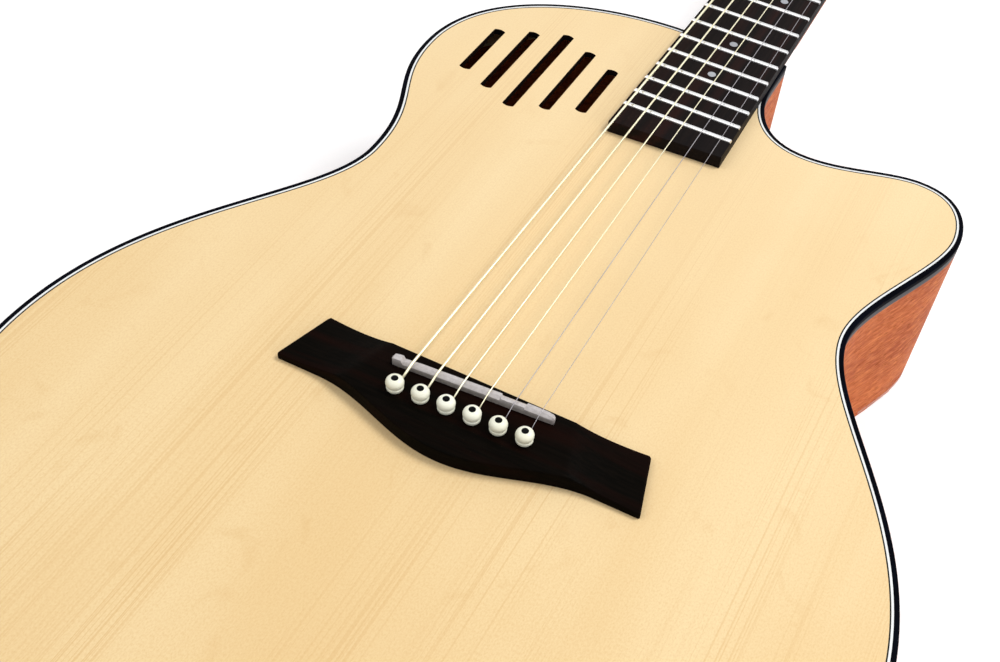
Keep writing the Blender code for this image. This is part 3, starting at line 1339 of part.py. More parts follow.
def make_battery_box():
    half = BATTERY_LENGTH / 2 + BATTERY_BOX_WALL + BATTERY_FLANGE + GAP
    tall = BATTERY_WIDTH / 2 + BATTERY_BOX_WALL + BATTERY_FLANGE + GAP
    hinge_at, hinge_lift = hinge_place()
    face = GAP + BATTERY_FLANGE_THICKNESS
    case = battery_block("battery_box", BATTERY_BOX_WALL + GAP, face - battery_sink())
    start, end = BATTERY_CENTRE_FROM_TAIL - half, BATTERY_CENTRE_FROM_TAIL + half
    heights = MIDDLE_Z - tall, MIDDLE_Z + tall
    weld(case, rim_patch("flange", (start, hinge_at + HINGE_RADIUS), heights, (GAP, face), FLANGE_STEPS))
    frame = rim_frame(hinge_at, 0, hinge_lift)
    pin_axis = axis_frame(frame.translation, UP)
    barrel = HINGE_BARREL_HALF_LENGTH
    for low, high in ((-tall, -barrel - GAP), (barrel + GAP, tall)):
        ends = (HINGE_RADIUS, MIDDLE_Z + low), (HINGE_RADIUS, MIDDLE_Z + high)
        knuckle = turned("knuckle", ends, pin_axis, SMALL_SIDES)
        span = hinge_at - HINGE_WEB_HALF_WIDTH, hinge_at + HINGE_WEB_HALF_WIDTH
        web_heights = MIDDLE_Z + low, MIDDLE_Z + high
        weld(knuckle, rim_patch("web", span, web_heights, (face / 2, hinge_lift), WEB_STEPS))
        weld(case, knuckle)
    cut(case, battery_block("cavity", GAP, CUTTER_REACH))
    finish(case, BLACK_PLASTIC)

    door_lift = face + GAP
    door = rim_patch("battery_door", (start, end), heights, (door_lift, door_lift + BATTERY_DOOR_THICKNESS))
    weld_span = end - HINGE_LEAF_LAP, hinge_at
    weld_heights = MIDDLE_Z - barrel, MIDDLE_Z + barrel
    lifts = hinge_lift - HINGE_LEAF_INNER, door_lift + HINGE_LEAF_OUTER
    weld(door, rim_patch("leaf", weld_span, weld_heights, lifts, WEB_STEPS))
    barrel_ends = [(HINGE_RADIUS, height) for height in weld_heights]
    weld(door, turned("barrel", barrel_ends, pin_axis, SMALL_SIDES))
    finish(door, BLACK_PLASTIC)
    pivot(door, (pin_axis.translation.x, pin_axis.translation.y, MIDDLE_Z))


def make_battery():
    return finish(battery_block("battery", 0, -battery_sink()), STEEL)


def jack_frame():
    return axis_frame((0, TAIL_Y, MIDDLE_Z), (0, -1, 0))


def jack_bore():
    radius = JACK_BARREL_RADIUS + GAP
    ends = (radius, -JACK_CUTTER_DEPTH), (radius, CUTTER_REACH)
    return turned("jack_bore", ends, jack_frame(), JACK_SIDES)


def make_output_jack():
    seat = GAP * 2
    collar = seat + JACK_COLLAR_THICKNESS
    profile = (
        (JACK_BARREL_RADIUS, -JACK_INSIDE), (JACK_BARREL_RADIUS, seat), (JACK_COLLAR_RADIUS, seat),
        (JACK_COLLAR_RADIUS, collar), (JACK_WAIST_RADIUS, collar + JACK_TAPER),
        (JACK_WAIST_RADIUS, JACK_PROUD - JACK_END_FLARE), (JACK_END_RADIUS, JACK_PROUD - JACK_END_CHAMFER),
        (JACK_TIP_RADIUS, JACK_PROUD),
    )
    jack = turned("output_jack", profile, jack_frame(), JACK_SIDES)
    bore = ((JACK_BORE_RADIUS, -JACK_INSIDE - CUTTER_REACH), (JACK_BORE_RADIUS, JACK_PROUD + CUTTER_REACH))
    cut(jack, turned("plug_bore", bore, jack_frame(), JACK_SIDES))
    return finish(jack, NICKEL)


# Whole guitar

def centre_on_origin(datum):
    """Puts the middle of the guitar's footprint on the origin and its lowest point at height zero."""
    bpy.context.view_layer.update()
    graph = bpy.context.evaluated_depsgraph_get()
    places = []
    for item in datum.children:
        shape = item.evaluated_get(graph)
        mesh = shape.to_mesh()
        places += [shape.matrix_world @ vertex.co for vertex in mesh.vertices]
        shape.to_mesh_clear()
    low = [min(place[axis] for place in places) for axis in range(3)]
    high = [max(place[axis] for place in places) for axis in range(3)]
    datum.location = (-(low[0] + high[0]) / 2, -(low[1] + high[1]) / 2, -low[2])
    bpy.context.view_layer.update()


def build():
    clear_scene()
    datum = bpy.data.objects.new("guitar_datum", None)
    bpy.context.scene.collection.objects.link(datum)
    make_soundboard()
    make_back_panel()
    make_sides()
    make_trim()
    make_neck_block()
    make_tail_block()
    make_top_bracing()
    make_back_bracing()
    make_bridge_plate()
    make_bridge()
    make_saddle()
    make_pins()
    make_neck()
    make_heel_cap()
    make_fretboard()
    make_frets()
    make_nut()
    make_truss_rod()
    make_veneer_and_cover()
    make_tuners()
    make_strings()
    make_preamp()
    make_battery_box()
    make_battery()
    make_output_jack()
    centre_on_origin(datum)


build()
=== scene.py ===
"""The finish of an acoustic-electric steel-string guitar, its smooth surfaces and its photograph's view.

Metres, +Z up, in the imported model's frame: the guitar lies on its back, headstock towards +Y, treble side +X.
Places along the strings are measured from the saddle end of the scale, and heights from the flat of the back.
"""

import json
from math import cos, pi, radians, sin, sqrt, tan

import bmesh
import bpy
from mathutils import Matrix, Vector


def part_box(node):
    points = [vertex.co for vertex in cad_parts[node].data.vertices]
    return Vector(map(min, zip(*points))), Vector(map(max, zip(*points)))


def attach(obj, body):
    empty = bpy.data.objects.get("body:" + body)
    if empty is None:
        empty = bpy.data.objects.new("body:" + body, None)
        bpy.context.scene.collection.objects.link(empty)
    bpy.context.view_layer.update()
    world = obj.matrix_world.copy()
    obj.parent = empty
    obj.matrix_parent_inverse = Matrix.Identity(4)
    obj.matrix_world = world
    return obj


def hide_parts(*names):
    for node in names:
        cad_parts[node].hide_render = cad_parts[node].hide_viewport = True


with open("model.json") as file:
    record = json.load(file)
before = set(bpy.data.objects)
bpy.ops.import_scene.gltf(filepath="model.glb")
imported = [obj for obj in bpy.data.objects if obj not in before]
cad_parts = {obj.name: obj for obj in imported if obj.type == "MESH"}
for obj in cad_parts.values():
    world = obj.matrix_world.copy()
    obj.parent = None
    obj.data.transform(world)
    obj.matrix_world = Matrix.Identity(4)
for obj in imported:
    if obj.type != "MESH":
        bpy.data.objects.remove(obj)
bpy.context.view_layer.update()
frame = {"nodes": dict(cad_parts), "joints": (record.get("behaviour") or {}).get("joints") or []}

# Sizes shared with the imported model
GAP = 0.0003
SCALE_LENGTH = 0.648
FRET_COUNT = 20
BODY_FRET = 14
TAIL_Y = -0.201
LOWER_BOUT_X = 0.1803
LOWER_BOUT_Y = -0.045
WAIST_X = 0.1165
WAIST_Y = 0.118
BASS_BOUT_X = 0.1375
BASS_BOUT_Y = 0.208
SHOULDER_X = 0.030
HORN_BOUT_X = 0.1433
HORN_BOUT_Y = 0.202
HORN_TOP_X = 0.1147
HORN_TOP_Y = 0.2351
CUTAWAY_LOW_X = 0.0618
CUTAWAY_LOW_Y = 0.2234
CUTAWAY_WALL_X = 0.028
CUTAWAY_WALL_Y = 0.2674
TENON_GATE = 0.0083
SIDE_THICKNESS = 0.0023
BINDING_HEIGHT = 0.006
BINDING_ROUNDING = 0.0007
WHITE_LINE_WIDTH = 0.0009
BLACK_LINE_WIDTH = 0.0006
BOARD_THICKNESS = 0.0062
NUT_THICKNESS = 0.0055
HEAD_TILT = radians(14)
EDGE_STEP = 0.003
SHARP_ANGLE = radians(35)

# Places read from the frame
SADDLE_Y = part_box("nut")[0].y - SCALE_LENGTH
TOP_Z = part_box("soundboard")[1].z
TOP_LOW_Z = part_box("soundboard")[0].z
BACK_TOP_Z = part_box("back_panel")[1].z
JOINT_Y = SADDLE_Y + SCALE_LENGTH * 2 ** (-BODY_FRET / 12)
HEAD_Y = SADDLE_Y + SCALE_LENGTH + NUT_THICKNESS + GAP
HEAD_FRAME = Matrix.Translation((0, HEAD_Y, TOP_Z)) @ Matrix.Rotation(-HEAD_TILT, 4, "X")
BOARD_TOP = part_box("fretboard")[1].z
MIDDLE_Z = TOP_Z / 2


# Materials

class Look:
    """A material of nodes, read from the object's own coordinates."""

    def __init__(self, name, colour, roughness, metallic=0.0, **sockets):
        self.material = bpy.data.materials.new(name)
        self.material.use_nodes = True
        self.tree = self.material.node_tree
        self.shader = self.tree.nodes["Principled BSDF"]
        self.shader.inputs["Base Color"].default_value = (*colour, 1)
        self.shader.inputs["Roughness"].default_value = roughness
        self.shader.inputs["Metallic"].default_value = metallic
        for socket, value in sockets.items():
            self.shader.inputs[socket.replace("_", " ")].default_value = value

    def node(self, kind, inputs=None, **settings):
        made = self.tree.nodes.new(kind)
        for setting, value in settings.items():
            setattr(made, setting, value)
        for socket, value in (inputs or {}).items():
            if isinstance(value, bpy.types.NodeSocket):
                self.tree.links.new(value, made.inputs[socket])
            else:
                made.inputs[socket].default_value = value
        return made

    def noise(self, scale, detail=2.0, rough=0.5, distortion=0.0):
        """Cloudy values from 0 to 1. Scale counts waves in a metre along X, Y and Z."""
        place = self.node("ShaderNodeTexCoord").outputs["Object"]
        stretched = self.node("ShaderNodeMapping", {"Vector": place, "Scale": scale}).outputs["Vector"]
        settings = {"Vector": stretched, "Scale": 1.0, "Detail": detail, "Roughness": rough, "Distortion": distortion}
        return self.node("ShaderNodeTexNoise", settings).outputs["Fac"]

    def spread(self, value, low, high, to_low=0.0, to_high=1.0):
        inputs = {"Value": value, "From Min": low, "From Max": high, "To Min": to_low, "To Max": to_high}
        return self.node("ShaderNodeMapRange", inputs).outputs["Result"]

    def blend(self, amount, first, second):
        """One colour over another. A colour is a socket or three numbers."""
        colours = [c if isinstance(c, bpy.types.NodeSocket) else (*c, 1) for c in (first, second)]
        inputs = {0: amount, 6: colours[0], 7: colours[1]}
        return self.node("ShaderNodeMix", inputs, data_type="RGBA").outputs[2]

    def drive(self, socket, value):
        self.tree.links.new(value, self.shader.inputs[socket])

    def bump(self, height, depth):
        made = self.node("ShaderNodeBump", {"Height": height, "Strength": 1.0, "Distance": depth})
        self.drive("Normal", made.outputs["Normal"])


# Painted light: a pale tone that the spruce is blended towards near the neck, standing in for the brighter light there.
PAINTED_LIGHT_TONE = (0.99, 0.82, 0.55)


def spruce(name, pale, warm, ring, roughness):
    """Straight fine rings along Y, soft broad bands and a faint cross silk, with painted light that turns the wood
    paler towards the neck.
    """
    look = Look(name, pale, roughness, Specular_IOR_Level=0.15)
    place = look.node("ShaderNodeTexCoord").outputs["Object"]
    along = look.node("ShaderNodeSeparateXYZ", {"Vector": place}).outputs["Y"]
    bands = look.noise((22, 3, 22), detail=2, distortion=0.5)
    patches = look.noise((13, 9, 13), detail=3, distortion=0.9)
    rings = look.noise((1500, 1.5, 1500), detail=0)
    clusters = look.noise((48, 3, 48), detail=1)
    flecks = look.noise((1500, 900, 1500), detail=2, rough=0.7)
    knots = look.noise((60, 38, 60), detail=3, distortion=1.0)
    tone = look.blend(look.spread(bands, 0.34, 0.7, 0, 0.75), pale, warm)
    tone = look.blend(look.spread(patches, 0.42, 0.72, 0, 0.5), tone, warm)
    tone = look.blend(look.spread(knots, 0.62, 0.8, 0, 0.35), tone, ring)
    lines = look.node("ShaderNodeMath", {0: look.spread(rings, 0.52, 0.62), 1: look.spread(clusters, 0.44, 0.68, 0.12, 1)}, operation="MULTIPLY").outputs[0]
    tone = look.blend(look.spread(lines, 0, 1, 0, 0.4), tone, ring)
    tone = look.blend(look.spread(flecks, 0.4, 0.72, 0, 0.36), tone, ring)
    # Painted light: paler towards the neck, up to a quarter of the way to the pale tone.
    tone = look.blend(look.spread(along, SADDLE_Y - 0.07, SADDLE_Y + 0.23, 0, 0.25), tone, PAINTED_LIGHT_TONE)
    look.drive("Base Color", tone)
    look.drive("Roughness", look.spread(rings, 0.3, 0.7, roughness - 0.06, roughness + 0.08))
    look.bump(rings, 0.00002)
    return look.material


def mahogany(name, along, deep, middle, bright, roughness, coat, specular=0.25):
    """Short pores and ribbons. along holds the waves in a metre across and along the grain on each axis."""
    look = Look(name, middle, roughness, Coat_Weight=coat, Coat_Roughness=0.12, Specular_IOR_Level=specular)
    slow = tuple(0.06 * scale for scale in along)
    fine = tuple(2.2 * scale for scale in along)
    ribbons = look.noise(slow, detail=3, distortion=0.6)
    streaks = look.noise(along, detail=4, rough=0.65, distortion=0.3)
    pores = look.noise(fine, detail=2)
    tone = look.blend(look.spread(ribbons, 0.35, 0.68), deep, middle)
    tone = look.blend(look.spread(streaks, 0.42, 0.7, 0, 0.85), tone, bright)
    tone = look.blend(look.spread(pores, 0.58, 0.72, 0, 0.6), tone, tuple(0.55 * c for c in deep))
    look.drive("Base Color", tone)
    look.drive("Roughness", look.spread(pores, 0.4, 0.75, roughness, roughness + 0.18))
    look.bump(look.spread(pores, 0.55, 0.75, 0, -1), 0.00003)
    return look.material


def ebony(name, along, dark, brown, red, roughness, specular):
    """Near-black wood with brown streaks and fine open pores."""
    look = Look(name, dark, roughness, Specular_IOR_Level=specular)
    slow = tuple(0.12 * scale for scale in along)
    streaks = look.noise(along, detail=4, rough=0.6)
    patches = look.noise(slow, detail=3)
    pores = look.noise(tuple(2.5 * scale for scale in along), detail=2)
    tone = look.blend(look.spread(streaks, 0.4, 0.75), dark, brown)
    tone = look.blend(look.spread(patches, 0.5, 0.7, 0, 0.7), tone, red)
    look.drive("Base Color", tone)
    look.drive("Roughness", look.spread(pores, 0.35, 0.7, roughness - 0.06, roughness + 0.16))
    look.bump(look.spread(pores, 0.55, 0.75, 0, -1), 0.00003)
    return look.material


def moulded(name, colour, other, roughness, coat=0.0, grain=400, specular=0.5):
    """Plastic or bone: a slight mottle, uneven gloss and a fine skin."""
    look = Look(name, colour, roughness, Coat_Weight=coat, Coat_Roughness=0.08, Specular_IOR_Level=specular)
    mottle = look.noise((grain, grain, grain), detail=3)
    cloud = look.noise((45, 45, 45), detail=2)
    look.drive("Base Color", look.blend(look.spread(cloud, 0.35, 0.65), colour, other))
    look.drive("Roughness", look.spread(mottle, 0.3, 0.7, roughness - 0.04, roughness + 0.07))
    look.bump(mottle, 0.000008)
    return look.material


def metal(name, colour, other, roughness, brushing=(900, 900, 900), depth=0.000006):
    look = Look(name, colour, roughness, metallic=1.0)
    brushed = look.noise(brushing, detail=3)
    cloud = look.noise((90, 90, 90), detail=2)
    look.drive("Base Color", look.blend(look.spread(cloud, 0.35, 0.7), colour, other))
    look.drive("Roughness", look.spread(brushed, 0.3, 0.7, roughness - 0.05, roughness + 0.1))
    look.bump(brushed, depth)
    return look.material


TOP_SPRUCE = spruce("top_spruce", (0.935, 0.715, 0.40), (0.865, 0.615, 0.305), (0.72, 0.44, 0.175), 0.46)
RAW_SPRUCE = spruce("raw_spruce", (0.74, 0.58, 0.36), (0.66, 0.48, 0.27), (0.5, 0.33, 0.17), 0.62)
SIDE_MAHOGANY = mahogany("side_mahogany", (130, 130, 600), (0.42, 0.078, 0.02), (0.62, 0.152, 0.038), (0.78, 0.26, 0.08), 0.4, 0.0, 0.05)
BACK_MAHOGANY = mahogany("back_mahogany", (420, 22, 420), (0.34, 0.09, 0.04), (0.47, 0.135, 0.055), (0.60, 0.21, 0.09), 0.3, 0.6)
NECK_MAHOGANY = mahogany("neck_mahogany", (460, 24, 460), (0.33, 0.095, 0.045), (0.46, 0.14, 0.055), (0.58, 0.20, 0.08), 0.42, 0.0, 0.1)
RAW_MAHOGANY = mahogany("raw_mahogany", (420, 26, 420), (0.10, 0.03, 0.018), (0.14, 0.044, 0.024), (0.18, 0.065, 0.035), 0.7, 0.0, 0.05)
BRIDGE_WOOD = ebony("bridge_wood", (60, 900, 900), (0.0018, 0.0014, 0.0009), (0.0045, 0.003, 0.002), (0.010, 0.0026, 0.0016), 0.45, 0.015)
BOARD_WOOD = ebony("board_wood", (700, 26, 700), (0.0055, 0.0038, 0.0038), (0.011, 0.007, 0.006), (0.030, 0.009, 0.007), 0.45, 0.05)
VENEER_WOOD = ebony("veneer_wood", (800, 30, 800), (0.004, 0.003, 0.003), (0.010, 0.006, 0.005), (0.014, 0.006, 0.004), 0.3, 0.15)
SLOT_STAIN = moulded("slot_stain", (0.004, 0.002, 0.002), (0.008, 0.003, 0.002), 0.8, specular=0.05)


def binding_plastic():
    """Black, with a painted sheen: the lower part of its upright face, below the rounded edge, is coloured paler, as a
    reflection would show.
    """
    look = Look("binding_black", (0.0015, 0.002, 0.0035), 0.3, Specular_IOR_Level=0.01)
    place = look.node("ShaderNodeTexCoord").outputs["Object"]
    height = look.node("ShaderNodeSeparateXYZ", {"Vector": place}).outputs["Z"]
    cloud = look.noise((60, 60, 60), detail=3)
    black = look.blend(look.spread(cloud, 0.35, 0.65), (0.0012, 0.0014, 0.003), (0.002, 0.003, 0.007))
    low = TOP_Z - BINDING_HEIGHT
    # Painted reflection: the lowest 3 mm of the upright face get a paler dark tone in place of black.
    painted_sheen = look.blend(look.spread(height, low, low + 0.002), (0.14, 0.14, 0.145), (0.11, 0.11, 0.115))
    look.drive("Base Color", look.blend(look.spread(height, low + 0.0030, low + 0.0034), painted_sheen, black))
    look.drive("Roughness", look.spread(cloud, 0.3, 0.7, 0.26, 0.38))
    look.bump(look.noise((400, 400, 400), detail=3), 0.000006)
    return look.material


BINDING_BLACK = binding_plastic()
LINE_BLACK = moulded("line_black", (0.006, 0.006, 0.007), (0.012, 0.011, 0.011), 0.4, specular=0.08)
LINE_WHITE = moulded("line_white", (0.88, 0.89, 0.87), (0.82, 0.83, 0.83), 0.35)


def saddle_bone():
    """Grey-white bone, with painted shade that darkens its upright faces towards the bottom."""
    look = Look("bone", (0.5, 0.47, 0.46), 0.45, Specular_IOR_Level=0.25)
    place = look.node("ShaderNodeTexCoord").outputs["Object"]
    height = look.node("ShaderNodeSeparateXYZ", {"Vector": place}).outputs["Z"]
    mottle = look.noise((500, 500, 500), detail=4, rough=0.7)
    # Painted shade: a lit tone for the crest and a shaded tone lower down the upright faces, blended by height.
    light = look.blend(look.spread(mottle, 0.35, 0.7), (0.60, 0.56, 0.55), (0.46, 0.42, 0.41))
    dark = look.blend(look.spread(mottle, 0.35, 0.7), (0.36, 0.32, 0.30), (0.24, 0.21, 0.20))
    look.drive("Base Color", look.blend(look.spread(height, TOP_Z + 0.0085, TOP_Z + 0.0100), dark, light))
    look.drive("Roughness", look.spread(mottle, 0.3, 0.7, 0.4, 0.55))
    look.bump(mottle, 0.00002)
    return look.material


BONE = saddle_bone()
NUT_BONE = moulded("nut_bone", (0.74, 0.70, 0.60), (0.80, 0.76, 0.66), 0.38)
IVORY = moulded("ivory", (0.95, 0.95, 0.81), (0.92, 0.91, 0.74), 0.3, coat=0.1, specular=0.3)
DOT_BLACK = moulded("dot_black", (0.002, 0.002, 0.002), (0.004, 0.004, 0.004), 0.35, specular=0.05)
PEARL = moulded("pearl", (0.27, 0.28, 0.31), (0.42, 0.43, 0.46), 0.3, coat=0.1, grain=1200, specular=0.2)
CASE_BLACK = moulded("case_black", (0.014, 0.014, 0.015), (0.02, 0.02, 0.02), 0.5, grain=2200)
MARK_WHITE = moulded("mark_white", (0.75, 0.75, 0.73), (0.68, 0.68, 0.66), 0.5)
FRET_METAL = metal("fret_metal", (0.90, 0.90, 0.90), (0.80, 0.80, 0.81), 0.2, brushing=(60, 1800, 1800))
NICKEL = metal("nickel", (0.78, 0.77, 0.74), (0.70, 0.69, 0.66), 0.2)
STEEL = metal("steel", (0.60, 0.60, 0.61), (0.52, 0.52, 0.53), 0.34)


def string_metal(name, colour, other, pitch, depth):
    """A string. A wound one has a ridge for each turn of its wire, along Y."""
    look = Look(name, colour, 0.4, metallic=1.0)
    cloud = look.noise((300, 60, 300), detail=2)
    look.drive("Base Color", look.blend(look.spread(cloud, 0.35, 0.7), colour, other))
    place = look.node("ShaderNodeTexCoord").outputs["Object"]
    turns = look.node("ShaderNodeTexWave", {"Vector": place, "Scale": 0.314 / pitch}, bands_direction="Y")
    look.drive("Roughness", look.spread(turns.outputs["Fac"], 0, 1, 0.36, 0.46))
    look.bump(turns.outputs["Fac"], depth)
    return look.material


BRONZE_WINDING = string_metal("bronze_winding", (0.98, 0.93, 0.70), (0.93, 0.86, 0.60), 0.0003, 0.00001)
PLAIN_WIRE = metal("plain_wire", (0.42, 0.40, 0.42), (0.36, 0.34, 0.36), 0.45, brushing=(2500, 20, 2500), depth=0.0000004)


# Building steps

def finish(name, bm, looks, body="root", nodes=(), sharp=SHARP_ANGLE):
    """Makes the piece, smooth up to the sharp angle, hangs it on its body and hides the imported nodes that it
    replaces.
    """
    bmesh.ops.recalc_face_normals(bm, faces=bm.faces)
    mesh = bpy.data.meshes.new(name)
    bm.to_mesh(mesh)
    bm.free()
    for look in looks if isinstance(looks, (list, tuple)) else [looks]:
        mesh.materials.append(look)
    item = bpy.data.objects.new(name, mesh)
    bpy.context.scene.collection.objects.link(item)
    smooth(item, sharp)
    return settle(item, body, nodes)


def settle(item, body="root", nodes=()):
    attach(item, body)
    if nodes:
        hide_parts(*nodes)
    return item


def smooth(item, sharp=SHARP_ANGLE):
    item.data.shade_smooth()
    item.data.set_sharp_from_angle(angle=sharp)


def add_loft(bm, sections, index=0, caps=True, ring=False):
    """Skins closed sections that have the same number of points."""
    rows = [[bm.verts.new(point) for point in section] for section in sections]
    pairs = list(zip(rows, rows[1:]))
    if ring:
        pairs.append((rows[-1], rows[0]))
    for row, following in pairs:
        for i, corner in enumerate(row):
            j = (i + 1) % len(row)
            face = bm.faces.new((corner, row[j], following[j], following[i]))
            face.material_index = index
    if caps and not ring:
        for row in (rows[0], rows[-1]):
            face = bm.faces.new(row)
            face.material_index = index


def circle(radius, height, sides, place):
    return [place @ Vector((radius * cos(2 * pi * i / sides), radius * sin(2 * pi * i / sides), height)) for i in range(sides)]


def add_turned(bm, profile, place, sides=32, index=0, ring=False):
    add_loft(bm, [circle(radius, height, sides, place) for radius, height in profile], index, ring=ring)


def add_box(bm, low, high, place=Matrix(), index=0):
    corners = ((low[0], low[1]), (high[0], low[1]), (high[0], high[1]), (low[0], high[1]))
    add_loft(bm, [[place @ Vector((x, y, z)) for x, y in corners] for z in (low[2], high[2])], index)


def axis_frame(point, direction, along=(0, 1, 0)):
    """A frame at the point with its Z axis along the direction and its Y axis near the other one."""
    z = Vector(direction).normalized()
    x = Vector(along).cross(z).normalized()
    made = Matrix((x, z.cross(x), z)).transposed().to_4x4()
    made.translation = point
    return made


def joint_frame(name, along=(0, 1, 0)):
    joint = next(j for j in frame["joints"] if j["name"] == name)
    return axis_frame(joint["pos_m"], joint["axis"], along)


def solid(name, bm, look=None):
    """A loose solid for cutting or joining."""
    bmesh.ops.recalc_face_normals(bm, faces=bm.faces)
    mesh = bpy.data.meshes.new(name)
    bm.to_mesh(mesh)
    bm.free()
    if look:
        mesh.materials.append(look)
    item = bpy.data.objects.new(name, mesh)
    bpy.context.scene.collection.objects.link(item)
    return item


def combine(target, tool, operation):
    modifier = target.modifiers.new("fit", "BOOLEAN")
    modifier.operation = operation
    modifier.solver = "EXACT"
    modifier.object = tool
    modifier.material_mode = "TRANSFER"
    graph = bpy.context.evaluated_depsgraph_get()
    mesh = bpy.data.meshes.new_from_object(target.evaluated_get(graph))
    target.modifiers.clear()
    target.data = mesh
    bpy.data.objects.remove(tool)


def refined(node, looks, bevel=0.0004, body="root", name=None):
    """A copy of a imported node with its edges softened."""
    source = frame["nodes"][node]
    bm = bmesh.new()
    bm.from_mesh(source.data)
    bmesh.ops.remove_doubles(bm, verts=bm.verts, dist=0.000002)
    bmesh.ops.dissolve_limit(bm, angle_limit=radians(0.5), verts=bm.verts, edges=bm.edges)
    if bevel:
        edges = [edge for edge in bm.edges if len(edge.link_faces) == 2 and edge.calc_face_angle() > SHARP_ANGLE]
        bmesh.ops.bevel(
            bm, geom=edges, offset=bevel, segments=2, profile=0.6, affect="EDGES", clamp_overlap=True, harden_normals=False
        )
    return finish(name or node + "_finish", bm, looks, body, [node])


def paint(node, look):
    """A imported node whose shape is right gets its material."""
    slots = frame["nodes"][node].data.materials
    slots.clear()
    slots.append(look)


# Outline of the body

def edge_path(knots, step):
    """Points along the edge. A knot is its place, its direction, and its pull before and after."""
    points = []
    for (start, heading, _, reach), (end, arrival, pull, _) in zip(knots, knots[1:]):
        corners = (Vector(start), Vector(start) + Vector(heading) * reach, Vector(end) - Vector(arrival) * pull, Vector(end))
        count = max(8, round((corners[3] - corners[0]).length / step))
        for i in range(count):
            t = i / count
            weights = ((1 - t) ** 3, 3 * t * (1 - t) ** 2, 3 * t * t * (1 - t), t ** 3)
            points.append(sum((w * c for w, c in zip(weights, corners)), Vector((0, SADDLE_Y))))
    points.append(Vector(knots[-1][0]) + Vector((0, SADDLE_Y)))
    return points


def treble_knots():
    up, left, right = (0, 1), (-1, 0), (1, 0)
    return (
        ((0, TAIL_Y), right, 0, 0.100),
        ((LOWER_BOUT_X, LOWER_BOUT_Y), up, 0.085, 0.080),
        ((WAIST_X, WAIST_Y), up, 0.041, 0.025),
        ((HORN_BOUT_X, HORN_BOUT_Y), up, 0.023, 0.015),
        ((HORN_TOP_X, HORN_TOP_Y), left, 0.022, 0.0155),
        ((CUTAWAY_LOW_X, CUTAWAY_LOW_Y), left, 0.0196, 0.0255),
        ((CUTAWAY_WALL_X, CUTAWAY_WALL_Y), up, 0.021, 0),
    )


def bass_knots():
    up, left, right = (0, 1), (-1, 0), (1, 0)
    return (
        ((0, TAIL_Y), left, 0, 0.100),
        ((-LOWER_BOUT_X, LOWER_BOUT_Y), up, 0.085, 0.080),
        ((-WAIST_X, WAIST_Y), up, 0.041, 0.042),
        ((-BASS_BOUT_X, BASS_BOUT_Y), up, 0.041, 0.056),
        ((-SHOULDER_X, JOINT_Y - SADDLE_Y), right, 0.046, 0),
    )


def treble_edge():
    return edge_path(treble_knots(), EDGE_STEP) + [Vector((CUTAWAY_WALL_X, JOINT_Y)), Vector((TENON_GATE, JOINT_Y))]


def bass_edge():
    return edge_path(bass_knots(), EDGE_STEP) + [Vector((-TENON_GATE, JOINT_Y))]


def body_outline(inset=0.0):
    """The closed outline, counter-clockwise from the tail, moved inwards by the inset."""
    points = treble_edge() + list(reversed(bass_edge()[1:]))
    moved = []
    for i, here in enumerate(points):
        before = (here - points[i - 1]).normalized()
        after = (points[(i + 1) % len(points)] - here).normalized()
        first = Vector((-before.y, before.x))
        second = Vector((-after.y, after.x))
        middle = (first + second).normalized()
        moved.append(here + middle * (inset / middle.dot(first)))
    return moved


def add_rim(bm, profile, index=0):
    """Sweeps a profile of insets and heights round the whole outline."""
    add_loft_rings(bm, [[(x, y, z) for x, y in body_outline(inset)] for inset, z in profile], index)


def add_loft_rings(bm, rings, index=0):
    add_loft(bm, rings, index, ring=True)


def walk(path, distance):
    """The place this far along the bass edge from the tail, and its outward direction."""
    left = distance
    for start, end in zip(path, path[1:]):
        stretch = end - start
        if left <= stretch.length:
            break
        left -= stretch.length
    heading = stretch.normalized()
    return start + heading * left, Vector((-heading.y, heading.x))


def rim_plate(bm, centre, half_length, half_height, corner, lifts, index=0, middle_z=MIDDLE_Z, columns=28):
    """A plate with rounded corners that follows the bass edge. Lifts are measured outwards from the edge."""
    path = edge_path(bass_knots(), EDGE_STEP)
    chamfer = 0.0005
    sections = []
    for i in range(columns + 1):
        along = -half_length * cos(pi * i / columns)
        past = max(0.0, abs(along) - (half_length - corner))
        tall = half_height - corner + sqrt(max(corner * corner - past * past, 0.0))
        point, normal = walk(path, centre + along)
        ring = []
        for lift, z in (
            (lifts[0], -tall), (lifts[1] - chamfer, -tall), (lifts[1], -tall + chamfer),
            (lifts[1], tall - chamfer), (lifts[1] - chamfer, tall), (lifts[0], tall),
        ):
            place = point + normal * lift
            ring.append((place.x, place.y, middle_z + z))
        sections.append(ring)
    add_loft(bm, sections, index)


# Body shell

SLOT_LENGTHS = (0.0396, 0.0551, 0.0697, 0.0551, 0.0401)
SLOT_PITCH = 0.016
SLOT_WIDTH = 0.0060
SLOT_END_ROUNDING = 0.0010
SLOT_FIRST_X = -0.1101
SLOT_CENTRE_Y = 0.2145
BRIDGE_CENTRE_X = -0.0008
PIN_ROW_Y = -0.0070
PIN_ROW_SLANT = radians(2.0)
STRING_SPREAD_AT_PINS = 0.0542
STRING_SPREAD_AT_SADDLE = 0.0533
STRING_SPREAD_AT_NUT = 0.0361
STRING_DIAMETERS = (0.00119, 0.00097, 0.00071, 0.00053, 0.00036, 0.00027)
PIN_BORE_RADIUS = 0.0028


def string_xs(y):
    spread = STRING_SPREAD_AT_SADDLE + (STRING_SPREAD_AT_NUT - STRING_SPREAD_AT_SADDLE) * y / SCALE_LENGTH
    return [spread * (number / 5 - 0.5) for number in range(6)]


def pin_xs():
    return [BRIDGE_CENTRE_X + STRING_SPREAD_AT_PINS * (number / 5 - 0.5) for number in range(6)]


def pin_y(x):
    return SADDLE_Y + PIN_ROW_Y + (x - BRIDGE_CENTRE_X) * tan(PIN_ROW_SLANT)


